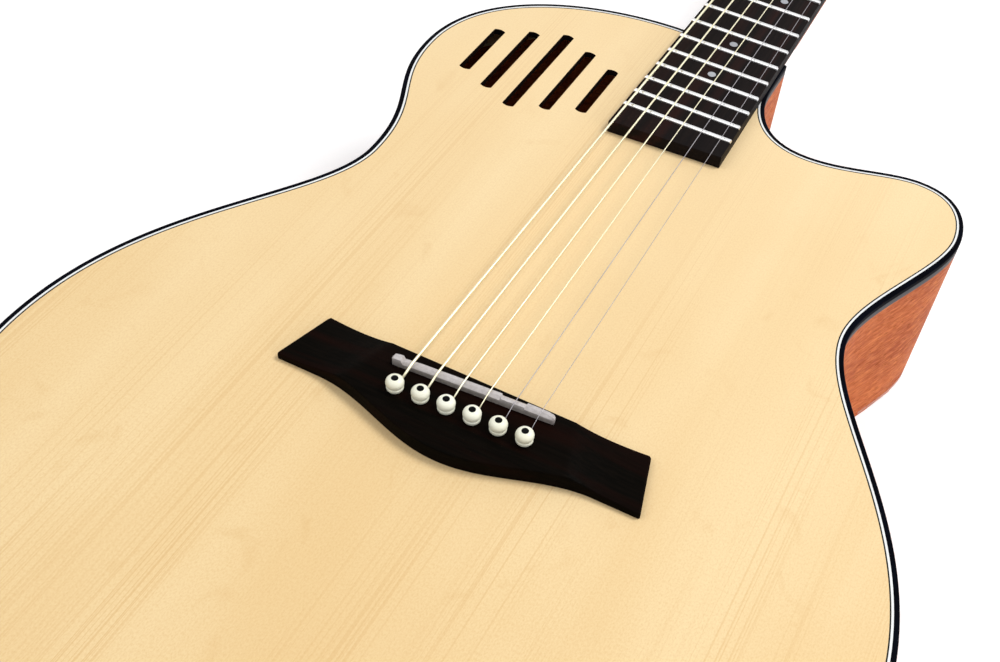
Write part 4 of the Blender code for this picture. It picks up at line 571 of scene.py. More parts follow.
def make_soundboard():
    bm = bmesh.new()
    inset = SIDE_THICKNESS + BLACK_LINE_WIDTH + WHITE_LINE_WIDTH
    add_loft(bm, [[(x, y, z) for x, y in body_outline(inset)] for z in (TOP_LOW_Z, TOP_Z)])
    top = solid("soundboard_finish", bm, TOP_SPRUCE)
    shares = [i / 8 for i in range(-8, 9)]
    for number, length in enumerate(SLOT_LENGTHS):
        x, centre = SLOT_FIRST_X + number * SLOT_PITCH, SADDLE_Y + SLOT_CENTRE_Y
        far = [(x + s * SLOT_WIDTH / 2, centre + length / 2 - SLOT_END_ROUNDING * s * s) for s in shares]
        near = [(px, 2 * centre - py) for px, py in far]
        cutter = bmesh.new()
        outline = near + far[::-1]
        add_loft(cutter, [[(px, py, z) for px, py in outline] for z in (TOP_LOW_Z - 0.01, TOP_Z + 0.01)])
        combine(top, solid("slot_cutter", cutter, SLOT_STAIN), "DIFFERENCE")
    for x in pin_xs():
        cutter = bmesh.new()
        add_turned(cutter, ((PIN_BORE_RADIUS, -0.02), (PIN_BORE_RADIUS, 0.02)), Matrix.Translation((x, pin_y(x), TOP_Z)))
        combine(top, solid("pin_cutter", cutter, SLOT_STAIN), "DIFFERENCE")
    smooth(top)
    settle(top, nodes=["soundboard"])


def make_trim():
    bm = bmesh.new()
    r, wide, low = BINDING_ROUNDING, SIDE_THICKNESS, TOP_Z - BINDING_HEIGHT
    corner = [(r - r * sin(a), TOP_Z - r + r * cos(a)) for a in (pi / 2, pi / 3, pi / 6, 0)]
    add_rim(bm, [(wide, low), (0, low)] + corner + [(wide, TOP_Z)])
    finish("top_binding_finish", bm, BINDING_BLACK, nodes=["top_binding"])
    bm = bmesh.new()
    inner = wide + WHITE_LINE_WIDTH
    low = TOP_LOW_Z + GAP
    add_rim(bm, [(inner, low), (wide, low), (wide, TOP_Z), (inner, TOP_Z)])
    add_rim(bm, [(inner + BLACK_LINE_WIDTH, low), (inner, low), (inner, TOP_Z), (inner + BLACK_LINE_WIDTH, TOP_Z)], 1)
    finish("top_purfling_finish", bm, [LINE_WHITE, LINE_BLACK], nodes=["top_purfling"])


def side_band(name, outer, inner, low, high, openings):
    bm = bmesh.new()
    add_loft(bm, [((a.x, a.y, low), (a.x, a.y, high), (b.x, b.y, high), (b.x, b.y, low)) for a, b in zip(outer, inner)])
    side = solid(name + "_finish", bm, SIDE_MAHOGANY)
    for cutter in openings:
        combine(side, cutter, "DIFFERENCE")
    smooth(side)
    settle(side, nodes=[name])


def jack_cutter():
    bm = bmesh.new()
    add_turned(bm, ((0.0058, -0.05), (0.0058, 0.05)), axis_frame((0, SADDLE_Y + TAIL_Y, MIDDLE_Z), (0, -1, 0), (0, 0, 1)))
    return solid("jack_opening", bm, RAW_MAHOGANY)


BEND_ALLOWANCE = 0.0007


def rim_cutter(centre, half_length, half_height):
    point, normal = walk(edge_path(bass_knots(), EDGE_STEP), centre)
    half = half_length + BEND_ALLOWANCE
    bm = bmesh.new()
    place = axis_frame((point.x, point.y, MIDDLE_Z), (normal.x, normal.y, 0), (0, 0, 1))
    corners = ((-half, -half_height), (half, -half_height), (half, half_height), (-half, half_height))
    add_loft(bm, [[place @ Vector((x, y, z)) for x, y in corners] for z in (-0.03, 0.01)])
    return solid("rim_opening", bm, RAW_MAHOGANY)


PREAMP_HALF_LENGTH = 0.026
PREAMP_HALF_HEIGHT = 0.013
PREAMP_FLANGE = 0.0045
PREAMP_PLATE = 0.002
BATTERY_CENTRE = 0.064
BATTERY_HALF_LENGTH = 0.02425
BATTERY_HALF_WIDTH = 0.01325
BATTERY_WALL = 0.0012
BATTERY_FLANGE = 0.003
BATTERY_FLANGE_THICKNESS = 0.002
BATTERY_DOOR_THICKNESS = 0.0018


def bass_length(knot_count):
    path = edge_path(bass_knots()[:knot_count], EDGE_STEP)
    return sum((b - a).length for a, b in zip(path, path[1:]))


def make_sides():
    outer, inner = body_outline(), body_outline(SIDE_THICKNESS)
    low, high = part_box("side_treble")[0].z, TOP_Z - BINDING_HEIGHT
    split = len(treble_edge())
    treble_outer, treble_inner = outer[:split], inner[:split]
    bass_outer, bass_inner = outer[split:] + outer[:1], inner[split:] + inner[:1]
    side_band("side_treble", treble_outer, treble_inner, low, high, [jack_cutter()])
    openings = [
        jack_cutter(),
        rim_cutter(bass_length(4), PREAMP_HALF_LENGTH + GAP, PREAMP_HALF_HEIGHT + GAP),
        rim_cutter(BATTERY_CENTRE, BATTERY_HALF_LENGTH + BATTERY_WALL + 2 * GAP, BATTERY_HALF_WIDTH + BATTERY_WALL + 2 * GAP),
    ]
    side_band("side_bass", bass_outer, bass_inner, low, high, openings)


def make_back():
    bm = bmesh.new()
    corner = 0.0008
    rings = []
    for inset, z in ((corner, 0), (0, corner), (0, BACK_TOP_Z)):
        rings.append([(x, y, z) for x, y in body_outline(inset)])
    add_loft(bm, rings)
    finish("back_panel_finish", bm, BACK_MAHOGANY, nodes=["back_panel"])


# Bridge

BRIDGE_FRONT_Y = 0.0122
BRIDGE_TIP_FRONT_Y = 0.0148
BRIDGE_HALF_FRONT = 0.0707
BRIDGE_HALF_REAR = 0.0780
BRIDGE_CREASE_FRONT = 0.0392
BRIDGE_CREASE_REAR = 0.0478
BRIDGE_WING_REAR_Y = -0.0122
BRIDGE_BELLY_Y = -0.0258
BRIDGE_HEIGHT = 0.0070
BRIDGE_WING_HEIGHT = 0.0030
BRIDGE_CREASE_SHARE = 0.6
BRIDGE_BELLY_SHARE = 0.75
BRIDGE_SCOOP_CURVE = 2.6
BRIDGE_EDGE_RADIUS = 0.0008
BRIDGE_FOOT_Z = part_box("bridge")[0].z
SADDLE_CENTRE_X = -0.0019
SADDLE_CENTRE_Y = 0.0058
SADDLE_SLANT = radians(3.5)
SADDLE_LENGTH = 0.0681
SADDLE_THICKNESS = 0.003
SADDLE_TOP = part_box("saddle")[1].z - TOP_Z


def bridge_rear(share):
    reach = min(abs(share) / BRIDGE_BELLY_SHARE, 1)
    return BRIDGE_WING_REAR_Y + (BRIDGE_BELLY_Y - BRIDGE_WING_REAR_Y) * (cos(pi * reach) + 1) / 2


def wing_share(share):
    return max(0, (abs(share) - BRIDGE_CREASE_SHARE) / (1 - BRIDGE_CREASE_SHARE))


def bridge_front(share):
    """The front edge is straight in the middle and flares along each wing."""
    return BRIDGE_FRONT_Y + (BRIDGE_TIP_FRONT_Y - BRIDGE_FRONT_Y) * wing_share(share)


def bridge_height(share):
    """The top is flat in the middle and scooped towards each end, from a crease."""
    scoop = (1 - wing_share(share)) ** BRIDGE_SCOOP_CURVE
    return BRIDGE_WING_HEIGHT + (BRIDGE_HEIGHT - BRIDGE_WING_HEIGHT) * scoop


def bridge_x(share, y):
    """Creases and tips both lean outwards to the rear."""
    back = (BRIDGE_TIP_FRONT_Y - max(y, BRIDGE_WING_REAR_Y)) / (BRIDGE_TIP_FRONT_Y - BRIDGE_WING_REAR_Y)
    crease = BRIDGE_CREASE_FRONT + (BRIDGE_CREASE_REAR - BRIDGE_CREASE_FRONT) * back
    tip = BRIDGE_HALF_FRONT + (BRIDGE_HALF_REAR - BRIDGE_HALF_FRONT) * back
    reach = crease * min(abs(share) / BRIDGE_CREASE_SHARE, 1) + (tip - crease) * wing_share(share)
    return BRIDGE_CENTRE_X + (reach if share > 0 else -reach)


def bridge_section(share, shrink=0.0):
    front, rear = bridge_front(share) - shrink, bridge_rear(share) + shrink
    high = BRIDGE_FOOT_Z + bridge_height(share) - shrink
    r = BRIDGE_EDGE_RADIUS
    turn = [pi / 2 * i / 4 for i in range(5)]
    profile = [(front, BRIDGE_FOOT_Z)] + [(front - r + r * cos(a), high - r + r * sin(a)) for a in turn]
    profile += [(rear + r - r * sin(a), high - r + r * cos(a)) for a in turn] + [(rear, BRIDGE_FOOT_Z)]
    return [(bridge_x(share, y), SADDLE_Y + y, z) for y, z in profile]


def make_bridge():
    bm = bmesh.new()
    shares = sorted({s * i / 40 for i in range(41) for s in (-1, 1)} | {-BRIDGE_CREASE_SHARE, BRIDGE_CREASE_SHARE})
    sections = [bridge_section(share) for share in shares]
    bridge_ends = [bridge_section(side, shrink=BRIDGE_EDGE_RADIUS * 0.7) for side in (-1, 1)]
    second = [bridge_section(side * (1 - BRIDGE_EDGE_RADIUS * 0.9 / BRIDGE_HALF_REAR)) for side in (-1, 1)]
    add_loft(bm, [bridge_ends[0], second[0]] + sections[1:-1] + [second[1], bridge_ends[1]])
    bridge = solid("bridge_finish", bm, BRIDGE_WOOD)
    for x, diameter in zip(pin_xs(), STRING_DIAMETERS):
        place = Matrix.Translation((x, pin_y(x), TOP_Z))
        cutter = bmesh.new()
        add_turned(cutter, ((PIN_BORE_RADIUS, -0.02), (PIN_BORE_RADIUS, 0.02)), place)
        combine(bridge, solid("pin_cutter", cutter, BRIDGE_WOOD), "DIFFERENCE")
        cutter = bmesh.new()
        add_box(cutter, (-diameter / 2 - GAP, 0, 0.0028), (diameter / 2 + GAP, 0.0049 + diameter, 0.02), place)
        combine(bridge, solid("ramp_cutter", cutter, BRIDGE_WOOD), "DIFFERENCE")
    cutter = bmesh.new()
    reach, half = SADDLE_LENGTH / 2 + GAP, SADDLE_THICKNESS / 2 + GAP / 2
    add_box(cutter, (-reach, -half, 0.0018), (reach, half, 0.02), saddle_frame())
    combine(bridge, solid("saddle_cutter", cutter, BRIDGE_WOOD), "DIFFERENCE")
    smooth(bridge, radians(22))
    settle(bridge, nodes=["bridge"])


def saddle_frame():
    return Matrix.Translation((SADDLE_CENTRE_X, SADDLE_Y + SADDLE_CENTRE_Y, TOP_Z)) @ Matrix.Rotation(SADDLE_SLANT, 4, "Z")


def make_saddle():
    """A bone saddle whose crest steps back under the second string and has a block at the bass end."""
    bm = bmesh.new()
    half, reach = SADDLE_THICKNESS / 2, SADDLE_LENGTH / 2
    low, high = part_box("saddle")[0].z - TOP_Z, SADDLE_TOP
    second = string_xs(0)[4] - SADDLE_CENTRE_X
    stations = []
    for x, crest, height in (
        (-reach, 0.0, high - 0.0012), (-reach + 0.0008, 0.0, high - 0.0003), (-reach + 0.003, 0.0, high),
        (-reach + 0.0042, 0.0, high), (-reach + 0.005, 0.35, high - 0.0011), (-reach + 0.012, 0.4, high - 0.0006),
        (second - 0.0075, 0.45, high - 0.0003), (second - 0.0062, 0.45, high - 0.0003),
        (second - 0.0057, -0.4, high - 0.0004), (second + 0.0040, -0.4, high - 0.0004),
        (second + 0.0045, 0.45, high - 0.0003), (reach - 0.003, 0.3, high - 0.0005),
        (reach - 0.0008, 0.1, high - 0.0008), (reach, 0.0, high - 0.0016),
    ):
        centre = crest * half
        flat = half * (1.0 if crest == 0 else 0.5)
        drop = 0.0010 if crest < 0 else 0.0009 if crest else 0.0002
        ends = max(0.0, abs(x) - (reach - 0.001)) * 0.9
        wide = half - ends
        ring = (
            (-wide, low), (wide, low), (wide, height - drop), (min(wide, centre + flat), height),
            (max(-wide, centre - flat), height), (-wide, height - drop),
        )
        stations.append([saddle_frame() @ Vector((x, y, z)) for y, z in ring])
    add_loft(bm, stations)
    finish("saddle_finish", bm, BONE, nodes=["saddle"], sharp=radians(28))


PIN_PROFILE = (
    (0.0014, -0.0180), (0.0023, -0.0172), (0.0025, 0.0002), (0.0032, 0.0002), (0.0034, 0.0006), (0.0034, 0.0014),
    (0.0031, 0.0018), (0.0030, 0.0020), (0.0034, 0.0024), (0.0036, 0.0031), (0.0036, 0.0038), (0.0034, 0.0045),
    (0.0029, 0.0052), (0.0022, 0.0056), (0.0013, 0.0058),
)
PIN_DOT_PROFILE = ((0.0014, 0.0050), (0.0014, 0.00588), (0.0011, 0.00598), (0.0004, 0.0060))


def make_pins():
    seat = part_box("bridge")[1].z + GAP
    for number, x in enumerate(pin_xs(), start=1):
        place = Matrix.Translation((x, pin_y(x), seat))
        bm = bmesh.new()
        add_turned(bm, PIN_PROFILE, place)
        add_turned(bm, PIN_DOT_PROFILE, place, index=1)
        finish(f"bridge_pin_{number}_finish", bm, [IVORY, DOT_BLACK], nodes=[f"bridge_pin_{number}"])


# Neck

BOARD_WIDTH_AT_NUT = 0.0431
BOARD_WIDTH_AT_LAST_FRET = 0.0562
BOARD_END_Y = 0.1912
BOARD_END_SLANT = 0.0034
NECK_DEPTH_AT_NUT = 0.015
NECK_DEPTH_AT_BODY = 0.018
NECK_FULLNESS = 1.15
HEEL_TOP_HALF_WIDTH = 0.0245
HEEL_FOOT_HALF_WIDTH = 0.0125
HEEL_TOP_LENGTH = 0.045
HEEL_FOOT_LENGTH = 0.020
HEEL_TOP_Z = TOP_Z - 0.0078
HEEL_FOOT_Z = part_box("heel_cap")[1].z + GAP
HEAD_LENGTH = 0.182
HEAD_THICKNESS = 0.0145
VENEER_THICKNESS = 0.0015
HEAD_HALF_WIDTHS = (
    (0.000, 0.0212), (0.010, 0.0236), (0.022, 0.0305), (0.036, 0.0335), (0.100, 0.0352),
    (0.160, 0.0368), (0.173, 0.0352), (0.179, 0.0250),
)
LAST_FRET_Y = SCALE_LENGTH * 2 ** (-FRET_COUNT / 12)


def board_half_width(y):
    slope = (BOARD_WIDTH_AT_LAST_FRET - BOARD_WIDTH_AT_NUT) / (SCALE_LENGTH - LAST_FRET_Y)
    return (BOARD_WIDTH_AT_NUT + slope * (SCALE_LENGTH - y)) / 2


def neck_half_width(z, past, y):
    """Half width of the neck at a height, where past is the distance from the body."""
    depth = NECK_DEPTH_AT_NUT + (NECK_DEPTH_AT_BODY - NECK_DEPTH_AT_NUT) * (HEAD_Y - y) / (HEAD_Y - JOINT_Y)
    sink = min((TOP_Z - z) / depth, 1)
    shaft = board_half_width(y - SADDLE_Y) * sqrt(1 - sink ** (2 / NECK_FULLNESS))
    share = min(max((z - HEEL_FOOT_Z) / (HEEL_TOP_Z - HEEL_FOOT_Z), 0), 1)
    wide = HEEL_FOOT_HALF_WIDTH + (HEEL_TOP_HALF_WIDTH - HEEL_FOOT_HALF_WIDTH) * share ** 0.8
    length = HEEL_FOOT_LENGTH + (HEEL_TOP_LENGTH - HEEL_FOOT_LENGTH) * share ** 3
    heel = wide * sqrt(max(0.0, 1 - (past / length) ** 2.5)) if z <= HEEL_TOP_Z else 0.0
    return (shaft ** 16 + heel ** 16) ** (1 / 16), depth


def neck_bottom(past, depth):
    if past <= HEEL_FOOT_LENGTH:
        return HEEL_FOOT_Z
    share = min((past - HEEL_FOOT_LENGTH) / (HEEL_TOP_LENGTH - HEEL_FOOT_LENGTH), 1) ** (1 / 3)
    heel = HEEL_FOOT_Z + (HEEL_TOP_Z - HEEL_FOOT_Z) * share
    return min(heel, TOP_Z - depth)


def neck_ring(y):
    past = y - JOINT_Y - GAP
    _, depth = neck_half_width(TOP_Z, past, y)
    bottom = neck_bottom(past, depth)
    half = []
    for i in range(25):
        z = TOP_Z - (TOP_Z - bottom) * sin(pi / 2 * i / 24)
        half.append((neck_half_width(z, past, y)[0], z))
    ring = [(x, y, z) for x, z in half] + [(-x, y, z) for x, z in reversed(half)]
    return ring


def curve_through(points, pieces=6):
    """A smooth line through the points."""
    line = [Vector(p) for p in points]
    ends = [line[0] * 2 - line[1]] + line + [line[-1] * 2 - line[-2]]
    made = []
    for a, b, c, d in zip(ends, ends[1:], ends[2:], ends[3:]):
        for i in range(pieces):
            t = i / pieces
            made.append((b * 2 + (c - a) * t + (a * 2 - b * 5 + c * 4 - d) * t * t + (b * 3 - a - c * 3 + d) * t ** 3) / 2)
    made.append(line[-1])
    return made


def head_outline(inset=0.0):
    side = curve_through([(w, u) for u, w in HEAD_HALF_WIDTHS] + [(0.0, HEAD_LENGTH)])
    right = [((p.x - inset) if p.x > inset else 0.0, min(max(p.y, inset), HEAD_LENGTH - inset)) for p in side[:-1]]
    return right + [(0.0, HEAD_LENGTH - inset)] + [(-x, u) for x, u in reversed(right)]


def add_head_plate(bm, low, high, rounding_low, rounding_high, index=0):
    rings = []
    for inset, w in ((rounding_low, low), (0, low + rounding_low), (0, high - rounding_high), (rounding_high, high)):
        rings.append([HEAD_FRAME @ Vector((x, u, w)) for x, u in head_outline(inset)])
    add_loft(bm, rings, index)


def make_neck():
    bm = bmesh.new()
    front = JOINT_Y + GAP
    places = [front + 0.002 * i for i in range(32)]
    step = (HEAD_Y - places[-1]) / 34
    places += [places[-1] + step * i for i in range(1, 35)]
    add_loft(bm, [neck_ring(y) for y in places])
    neck = solid("neck_finish", bm, NECK_MAHOGANY)
    bm = bmesh.new()
    add_head_plate(bm, -HEAD_THICKNESS, 0, 0.0012, 0.0001)
    combine(neck, solid("head", bm, NECK_MAHOGANY), "UNION")
    combine(neck, rod_pocket(), "DIFFERENCE")
    smooth(neck, radians(40))
    settle(neck, nodes=["neck"])
    bm = bmesh.new()
    add_head_plate(bm, GAP / 3, GAP + VENEER_THICKNESS, 0.0001, 0.0004)
    veneer = solid("headstock_veneer_finish", bm, VENEER_WOOD)
    combine(veneer, rod_pocket(), "DIFFERENCE")
    smooth(veneer)
    settle(veneer, nodes=["headstock_veneer"])


def rod_pocket():
    bm = bmesh.new()
    add_box(bm, (-0.0048, HEAD_Y + 0.0015, TOP_Z - 0.010), (0.0048, HEAD_Y + 0.0195, TOP_Z + 0.01))
    return solid("rod_pocket", bm, RAW_MAHOGANY)


def make_heel_cap():
    low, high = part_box("heel_cap")[0].z, HEEL_FOOT_Z
    ring = []
    for i in range(33):
        angle = pi * i / 32
        ring.append((HEEL_FOOT_HALF_WIDTH * cos(angle), JOINT_Y + GAP + HEEL_FOOT_LENGTH * sin(angle) ** 0.8))
    bm = bmesh.new()
    add_loft(bm, [[(x, y, z) for x, y in ring] for z in (low, high)])
    finish("heel_cap_finish", bm, VENEER_WOOD, nodes=["heel_cap"])


FRET_HALF_WIDTH = 0.0012
FRET_HEIGHT = 0.0010
FRET_END_BEVEL = 0.0009
DOT_RADIUS = 0.0021
DOT_FRETS = (3, 5, 7, 9, 12, 15, 17)
DOT_PAIR_FRET = 12
DOT_PAIR_OFFSET = 0.009


def fret_y(number):
    return SADDLE_Y + SCALE_LENGTH * 2 ** (-number / 12)


def make_fretboard():
    bm = bmesh.new()
    low, high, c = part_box("fretboard")[0].z, BOARD_TOP, 0.0005
    near, far = SADDLE_Y + BOARD_END_Y, SADDLE_Y + SCALE_LENGTH - GAP
    bass = near - BOARD_END_SLANT
    a, b, d = (board_half_width(y - SADDLE_Y) for y in (near, far, bass))
    rings = []
    for inset, z in ((0, low), (0, high - c), (c * 0.3, high - c * 0.3), (c, high)):
        rings.append([(-d + inset, bass + inset, z), (a - inset, near + inset, z), (b - inset, far, z), (-b + inset, far, z)])
    add_loft(bm, rings)
    finish("fretboard_finish", bm, BOARD_WOOD, nodes=["fretboard"])


def make_frets():
    bm = bmesh.new()
    arc = [(-FRET_HALF_WIDTH * cos(pi * i / 8), FRET_HEIGHT * sin(pi * i / 8) ** 0.8) for i in range(9)]
    foot = BOARD_TOP - 0.0002
    for number in range(1, FRET_COUNT + 1):
        y = fret_y(number)
        half = board_half_width(y - SADDLE_Y)
        sections = []
        for share, lift in ((-1, 0.0), (-1, 0.7), (-1, 1.0), (1, 1.0), (1, 0.7), (1, 0.0)):
            ring = [(share * half, y + FRET_HALF_WIDTH, foot), (share * half, y - FRET_HALF_WIDTH, foot)]
            for dy, dz in arc:
                back = FRET_END_BEVEL * (dz / FRET_HEIGHT) if lift else 0
                rise = (0.0003 + dz) * lift
                x = share * (half - back * lift)
                ring.append((x, y + dy, foot + 0.0002 + rise))
            sections.append(ring)
        add_loft(bm, [sections[0], sections[2], sections[3], sections[5]])
    finish("frets_finish", bm, FRET_METAL, nodes=["frets"])


def make_dots():
    bm = bmesh.new()
    for number in DOT_FRETS:
        y = (fret_y(number) + fret_y(number - 1)) / 2
        offsets = (-DOT_PAIR_OFFSET, DOT_PAIR_OFFSET) if number == DOT_PAIR_FRET else (0,)
        for x in offsets:
            add_turned(bm, ((DOT_RADIUS, -0.001), (DOT_RADIUS, 0.00003)), Matrix.Translation((x, y, BOARD_TOP)))
    finish("position_dots", bm, PEARL)


# Headstock hardware

POST_RADIUS = 0.003
POST_HEIGHT = 0.0165
GEAR_RADIUS = 0.0056
GEAR_TEETH = 16
GEAR_THICKNESS = 0.0030
WORM_RADIUS = 0.0026
WORM_HALF_LENGTH = 0.0038
WORM_PITCH = 0.0015
WORM_SHAFT_RADIUS = 0.0013
BELOW_PLATE = -HEAD_THICKNESS - GAP - 0.0012
WORM_DEPTH = BELOW_PLATE - GAP - WORM_RADIUS
BUTTON_LENGTH = 0.016
BUTTON_HALF_WIDTH = 0.0085
BUTTON_HALF_THICKNESS = 0.0040
BUTTON_CLEAR_OF_HEAD = 0.006
POST_X = 0.0235


def gear_ring(place, height, scale=1.0):
    ring = []
    for i in range(GEAR_TEETH * 6):
        wave = cos(GEAR_TEETH * 2 * pi * i / (GEAR_TEETH * 6))
        radius = (GEAR_RADIUS - 0.0005 + 0.0005 * max(-1, min(1, 1.6 * wave))) * scale
        angle = 2 * pi * i / (GEAR_TEETH * 6)
        ring.append(place @ Vector((radius * cos(angle), radius * sin(angle), height)))
    return ring


def make_post(number):
    place = joint_frame(f"tuner_{number}_post_turn")
    top = GAP + VENEER_THICKNESS + POST_HEIGHT
    gear_top = WORM_DEPTH + GEAR_THICKNESS / 2
    gear_low = gear_top - GEAR_THICKNESS
    bm = bmesh.new()
    rings = ((gear_low, 0.94), (gear_low + 0.0003, 1), (gear_top - 0.0003, 1), (gear_top, 0.94))
    add_loft(bm, [gear_ring(place, height, scale) for height, scale in rings])
    add_turned(bm, (
        (0.0022, gear_low - 0.0009), (0.0026, gear_low - 0.0006), (0.0026, gear_low),
    ), place)
    add_turned(bm, (
        (POST_RADIUS, gear_top), (POST_RADIUS, 0.0108), (0.00262, 0.0113), (0.00262, 0.0140), (POST_RADIUS, 0.0147),
        (POST_RADIUS + 0.0002, top - 0.0016), (POST_RADIUS + 0.0002, top - 0.0008), (0.0027, top - 0.0002), (0.0022, top),
    ), place)
    post = finish(f"tuner_post_{number}_finish", bm, NICKEL, f"tuner_post_{number}", [f"tuner_post_{number}"])
    bm = bmesh.new()
    ring = ((0.0034, -0.001), (0.0055, -0.001), (0.0055, 0.0004), (0.0051, 0.0009), (0.0043, 0.0016), (0.0034, 0.0016))
    seated = place @ Matrix.Translation((0, 0, GAP + VENEER_THICKNESS))
    add_turned(bm, ring, seated, 36, ring=True)
    finish(f"tuner_bushing_{number}", bm, NICKEL)
    return post


def make_button(number):
    place = joint_frame(f"tuner_{number}_button_turn", HEAD_FRAME.to_3x3() @ Vector((0, 1, 0)))
    low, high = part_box(f"tuner_button_{number}")
    reach = (high.x - low.x) - BUTTON_LENGTH - WORM_HALF_LENGTH - GAP - 0.0018
    bm = bmesh.new()
    worm = []
    for i in range(49):
        height = -WORM_HALF_LENGTH + 2 * WORM_HALF_LENGTH * i / 48
        ring = []
        for j in range(24):
            angle = 2 * pi * j / 24
            ridge = cos(angle - 2 * pi * height / WORM_PITCH)
            radius = WORM_RADIUS - 0.0004 + 0.0004 * ridge
            ring.append(place @ Vector((radius * cos(angle), radius * sin(angle), height)))
        worm.append(ring)
    add_loft(bm, worm)
    end = WORM_HALF_LENGTH + GAP + 0.0018
    add_turned(bm, ((WORM_SHAFT_RADIUS, -end), (WORM_SHAFT_RADIUS, -WORM_HALF_LENGTH)), place, 24)
    add_turned(bm, (
        (WORM_SHAFT_RADIUS, WORM_HALF_LENGTH), (WORM_SHAFT_RADIUS, reach - 0.003), (0.0021, reach - 0.0026),
        (0.0023, reach - 0.0018), (0.0019, reach - 0.0010), (0.0019, reach + 0.001),
    ), place, 24)
    sections = []
    for i in range(17):
        share = i / 16
        size = max(0.0, sin(pi * min(share * 0.86 + 0.09, 1))) ** 0.62
        size = size if i < 16 else 0.42
        thick = BUTTON_HALF_THICKNESS * (0.55 + 0.45 * size) * (1.0 if 0 < i < 16 else 0.7)
        ring = []
        for j in range(32):
            angle = 2 * pi * j / 32
            ring.append(place @ Vector((thick * cos(angle), BUTTON_HALF_WIDTH * 0.98 * size * sin(angle), reach + BUTTON_LENGTH * share)))
        sections.append(ring)
    add_loft(bm, sections)
    name = f"tuner_button_{number}"
    finish(name + "_finish", bm, NICKEL, name, [name], radians(50))


def make_plates():
    for side, word in ((-1, "bass"), (1, "treble")):
        refined(f"tuner_plate_{word}", NICKEL, 0.0002)
        bm = bmesh.new()
        for u in (0.0405, 0.0685, 0.1095, 0.1425):
            place = HEAD_FRAME @ Matrix.Translation((side * (POST_X - 0.0048), u, BELOW_PLATE)) @ Matrix.Rotation(pi, 4, "X")
            add_turned(bm, ((0.0019, -0.0005), (0.0019, 0.0002), (0.0015, 0.0006), (0.0006, 0.0008)), place, 20)
        finish(f"tuner_screws_{word}", bm, NICKEL)


def make_cover():
    low = 2 * GAP + VENEER_THICKNESS
    half = curve_through([(0.009, 0.001), (0.009, 0.0115), (0.0068, 0.0185), (0.0042, 0.0265), (0.002, 0.0305)])
    outline = [(p.x, p.y) for p in half] + [(0.0, 0.031)] + [(-p.x, p.y) for p in reversed(half)]
    bm = bmesh.new()
    rings = []
    for inset, w in ((0, low), (0, low + 0.0011), (0.0004, low + 0.0015)):
        ring = [HEAD_FRAME @ Vector((x * (1 - inset / 0.006), u + (0.014 - u) * inset / 0.02, w)) for x, u in outline]
        rings.append(ring)
    add_loft(bm, rings)
    finish("truss_rod_cover_finish", bm, CASE_BLACK, nodes=["truss_rod_cover"])
    bm = bmesh.new()
    for x, u in ((-0.0064, 0.0045), (0.0064, 0.0045), (0, 0.0275)):
        place = HEAD_FRAME @ Matrix.Translation((x, u, low + 0.0015))
        add_turned(bm, ((0.0014, -0.0006), (0.0014, 0.0001), (0.0010, 0.0004), (0.0004, 0.0005)), place, 18)
    finish("truss_rod_cover_screws", bm, NICKEL)


# Electronics

KNOB_RIDGES = 24


def make_knob(name):
    place = joint_frame(name + "_turn", (0, 0, 1))
    base = GAP * 3 + PREAMP_PLATE
    bm = bmesh.new()
    add_turned(bm, ((0.0015, -0.006), (0.0015, base + 0.001)), place, 20)
    sections = []
    for radius, height, depth in (
        (0.0050, base, 0), (0.0052, base + 0.0004, 0), (0.0052, base + 0.0012, 0), (0.0049, base + 0.0014, 0.00022),
        (0.0047, base + 0.0058, 0.00022), (0.0044, base + 0.0062, 0.0001), (0.0040, base + 0.0065, 0),
    ):
        ring = []
        for i in range(KNOB_RIDGES * 4):
            angle = 2 * pi * i / (KNOB_RIDGES * 4)
            ridged = radius - depth * (1 - cos(KNOB_RIDGES * angle))
            ring.append(place @ Vector((ridged * cos(angle), ridged * sin(angle), height)))
        sections.append(ring)
    add_loft(bm, sections)
    add_box(bm, (-0.0004, 0.0008, base + 0.0060), (0.0004, 0.0038, base + 0.00655), place, 1)
    finish(name + "_finish", bm, [CASE_BLACK, MARK_WHITE], name, [name])


def make_preamp():
    centre = bass_length(4)
    refined("preamp", CASE_BLACK, 0.0)
    bm = bmesh.new()
    face = GAP + PREAMP_PLATE
    rim_plate(bm, centre, PREAMP_HALF_LENGTH + PREAMP_FLANGE, PREAMP_HALF_HEIGHT + PREAMP_FLANGE, 0.004, (0.00005, face + 0.0001))
    finish("preamp_panel", bm, CASE_BLACK, sharp=radians(25))
    bm = bmesh.new()
    for name in ("tone_knob", "volume_knob"):
        place = joint_frame(name + "_turn", (0, 0, 1))
        for i in range(11):
            turn = place @ Matrix.Rotation(radians(-140 + 28 * i), 4, "Z")
            add_box(bm, (-0.00018, 0.0062, face), (0.00018, 0.0076, face + 0.00022), turn)
    for x, z in ((-0.0275, -0.0145), (0.0275, -0.0145), (-0.0275, 0.0145), (0.0275, 0.0145)):
        point, normal = walk(edge_path(bass_knots(), EDGE_STEP), centre + x)
        place = axis_frame((point.x, point.y, MIDDLE_Z + z), (normal.x, normal.y, 0), (0, 0, 1))
        add_turned(bm, ((0.0013, face - 0.0005), (0.0013, face + 0.0003), (0.0009, face + 0.0006)), place, 16, 1)
    finish("preamp_marks", bm, [MARK_WHITE, NICKEL])
    make_knob("tone_knob")
    make_knob("volume_knob")
    refined("phase_button", CASE_BLACK, 0.0, "phase_button")


def make_battery():
    refined("battery_box", CASE_BLACK, 0.0)
    refined("battery_door", CASE_BLACK, 0.0003, "battery_door")
    paint("battery", STEEL)


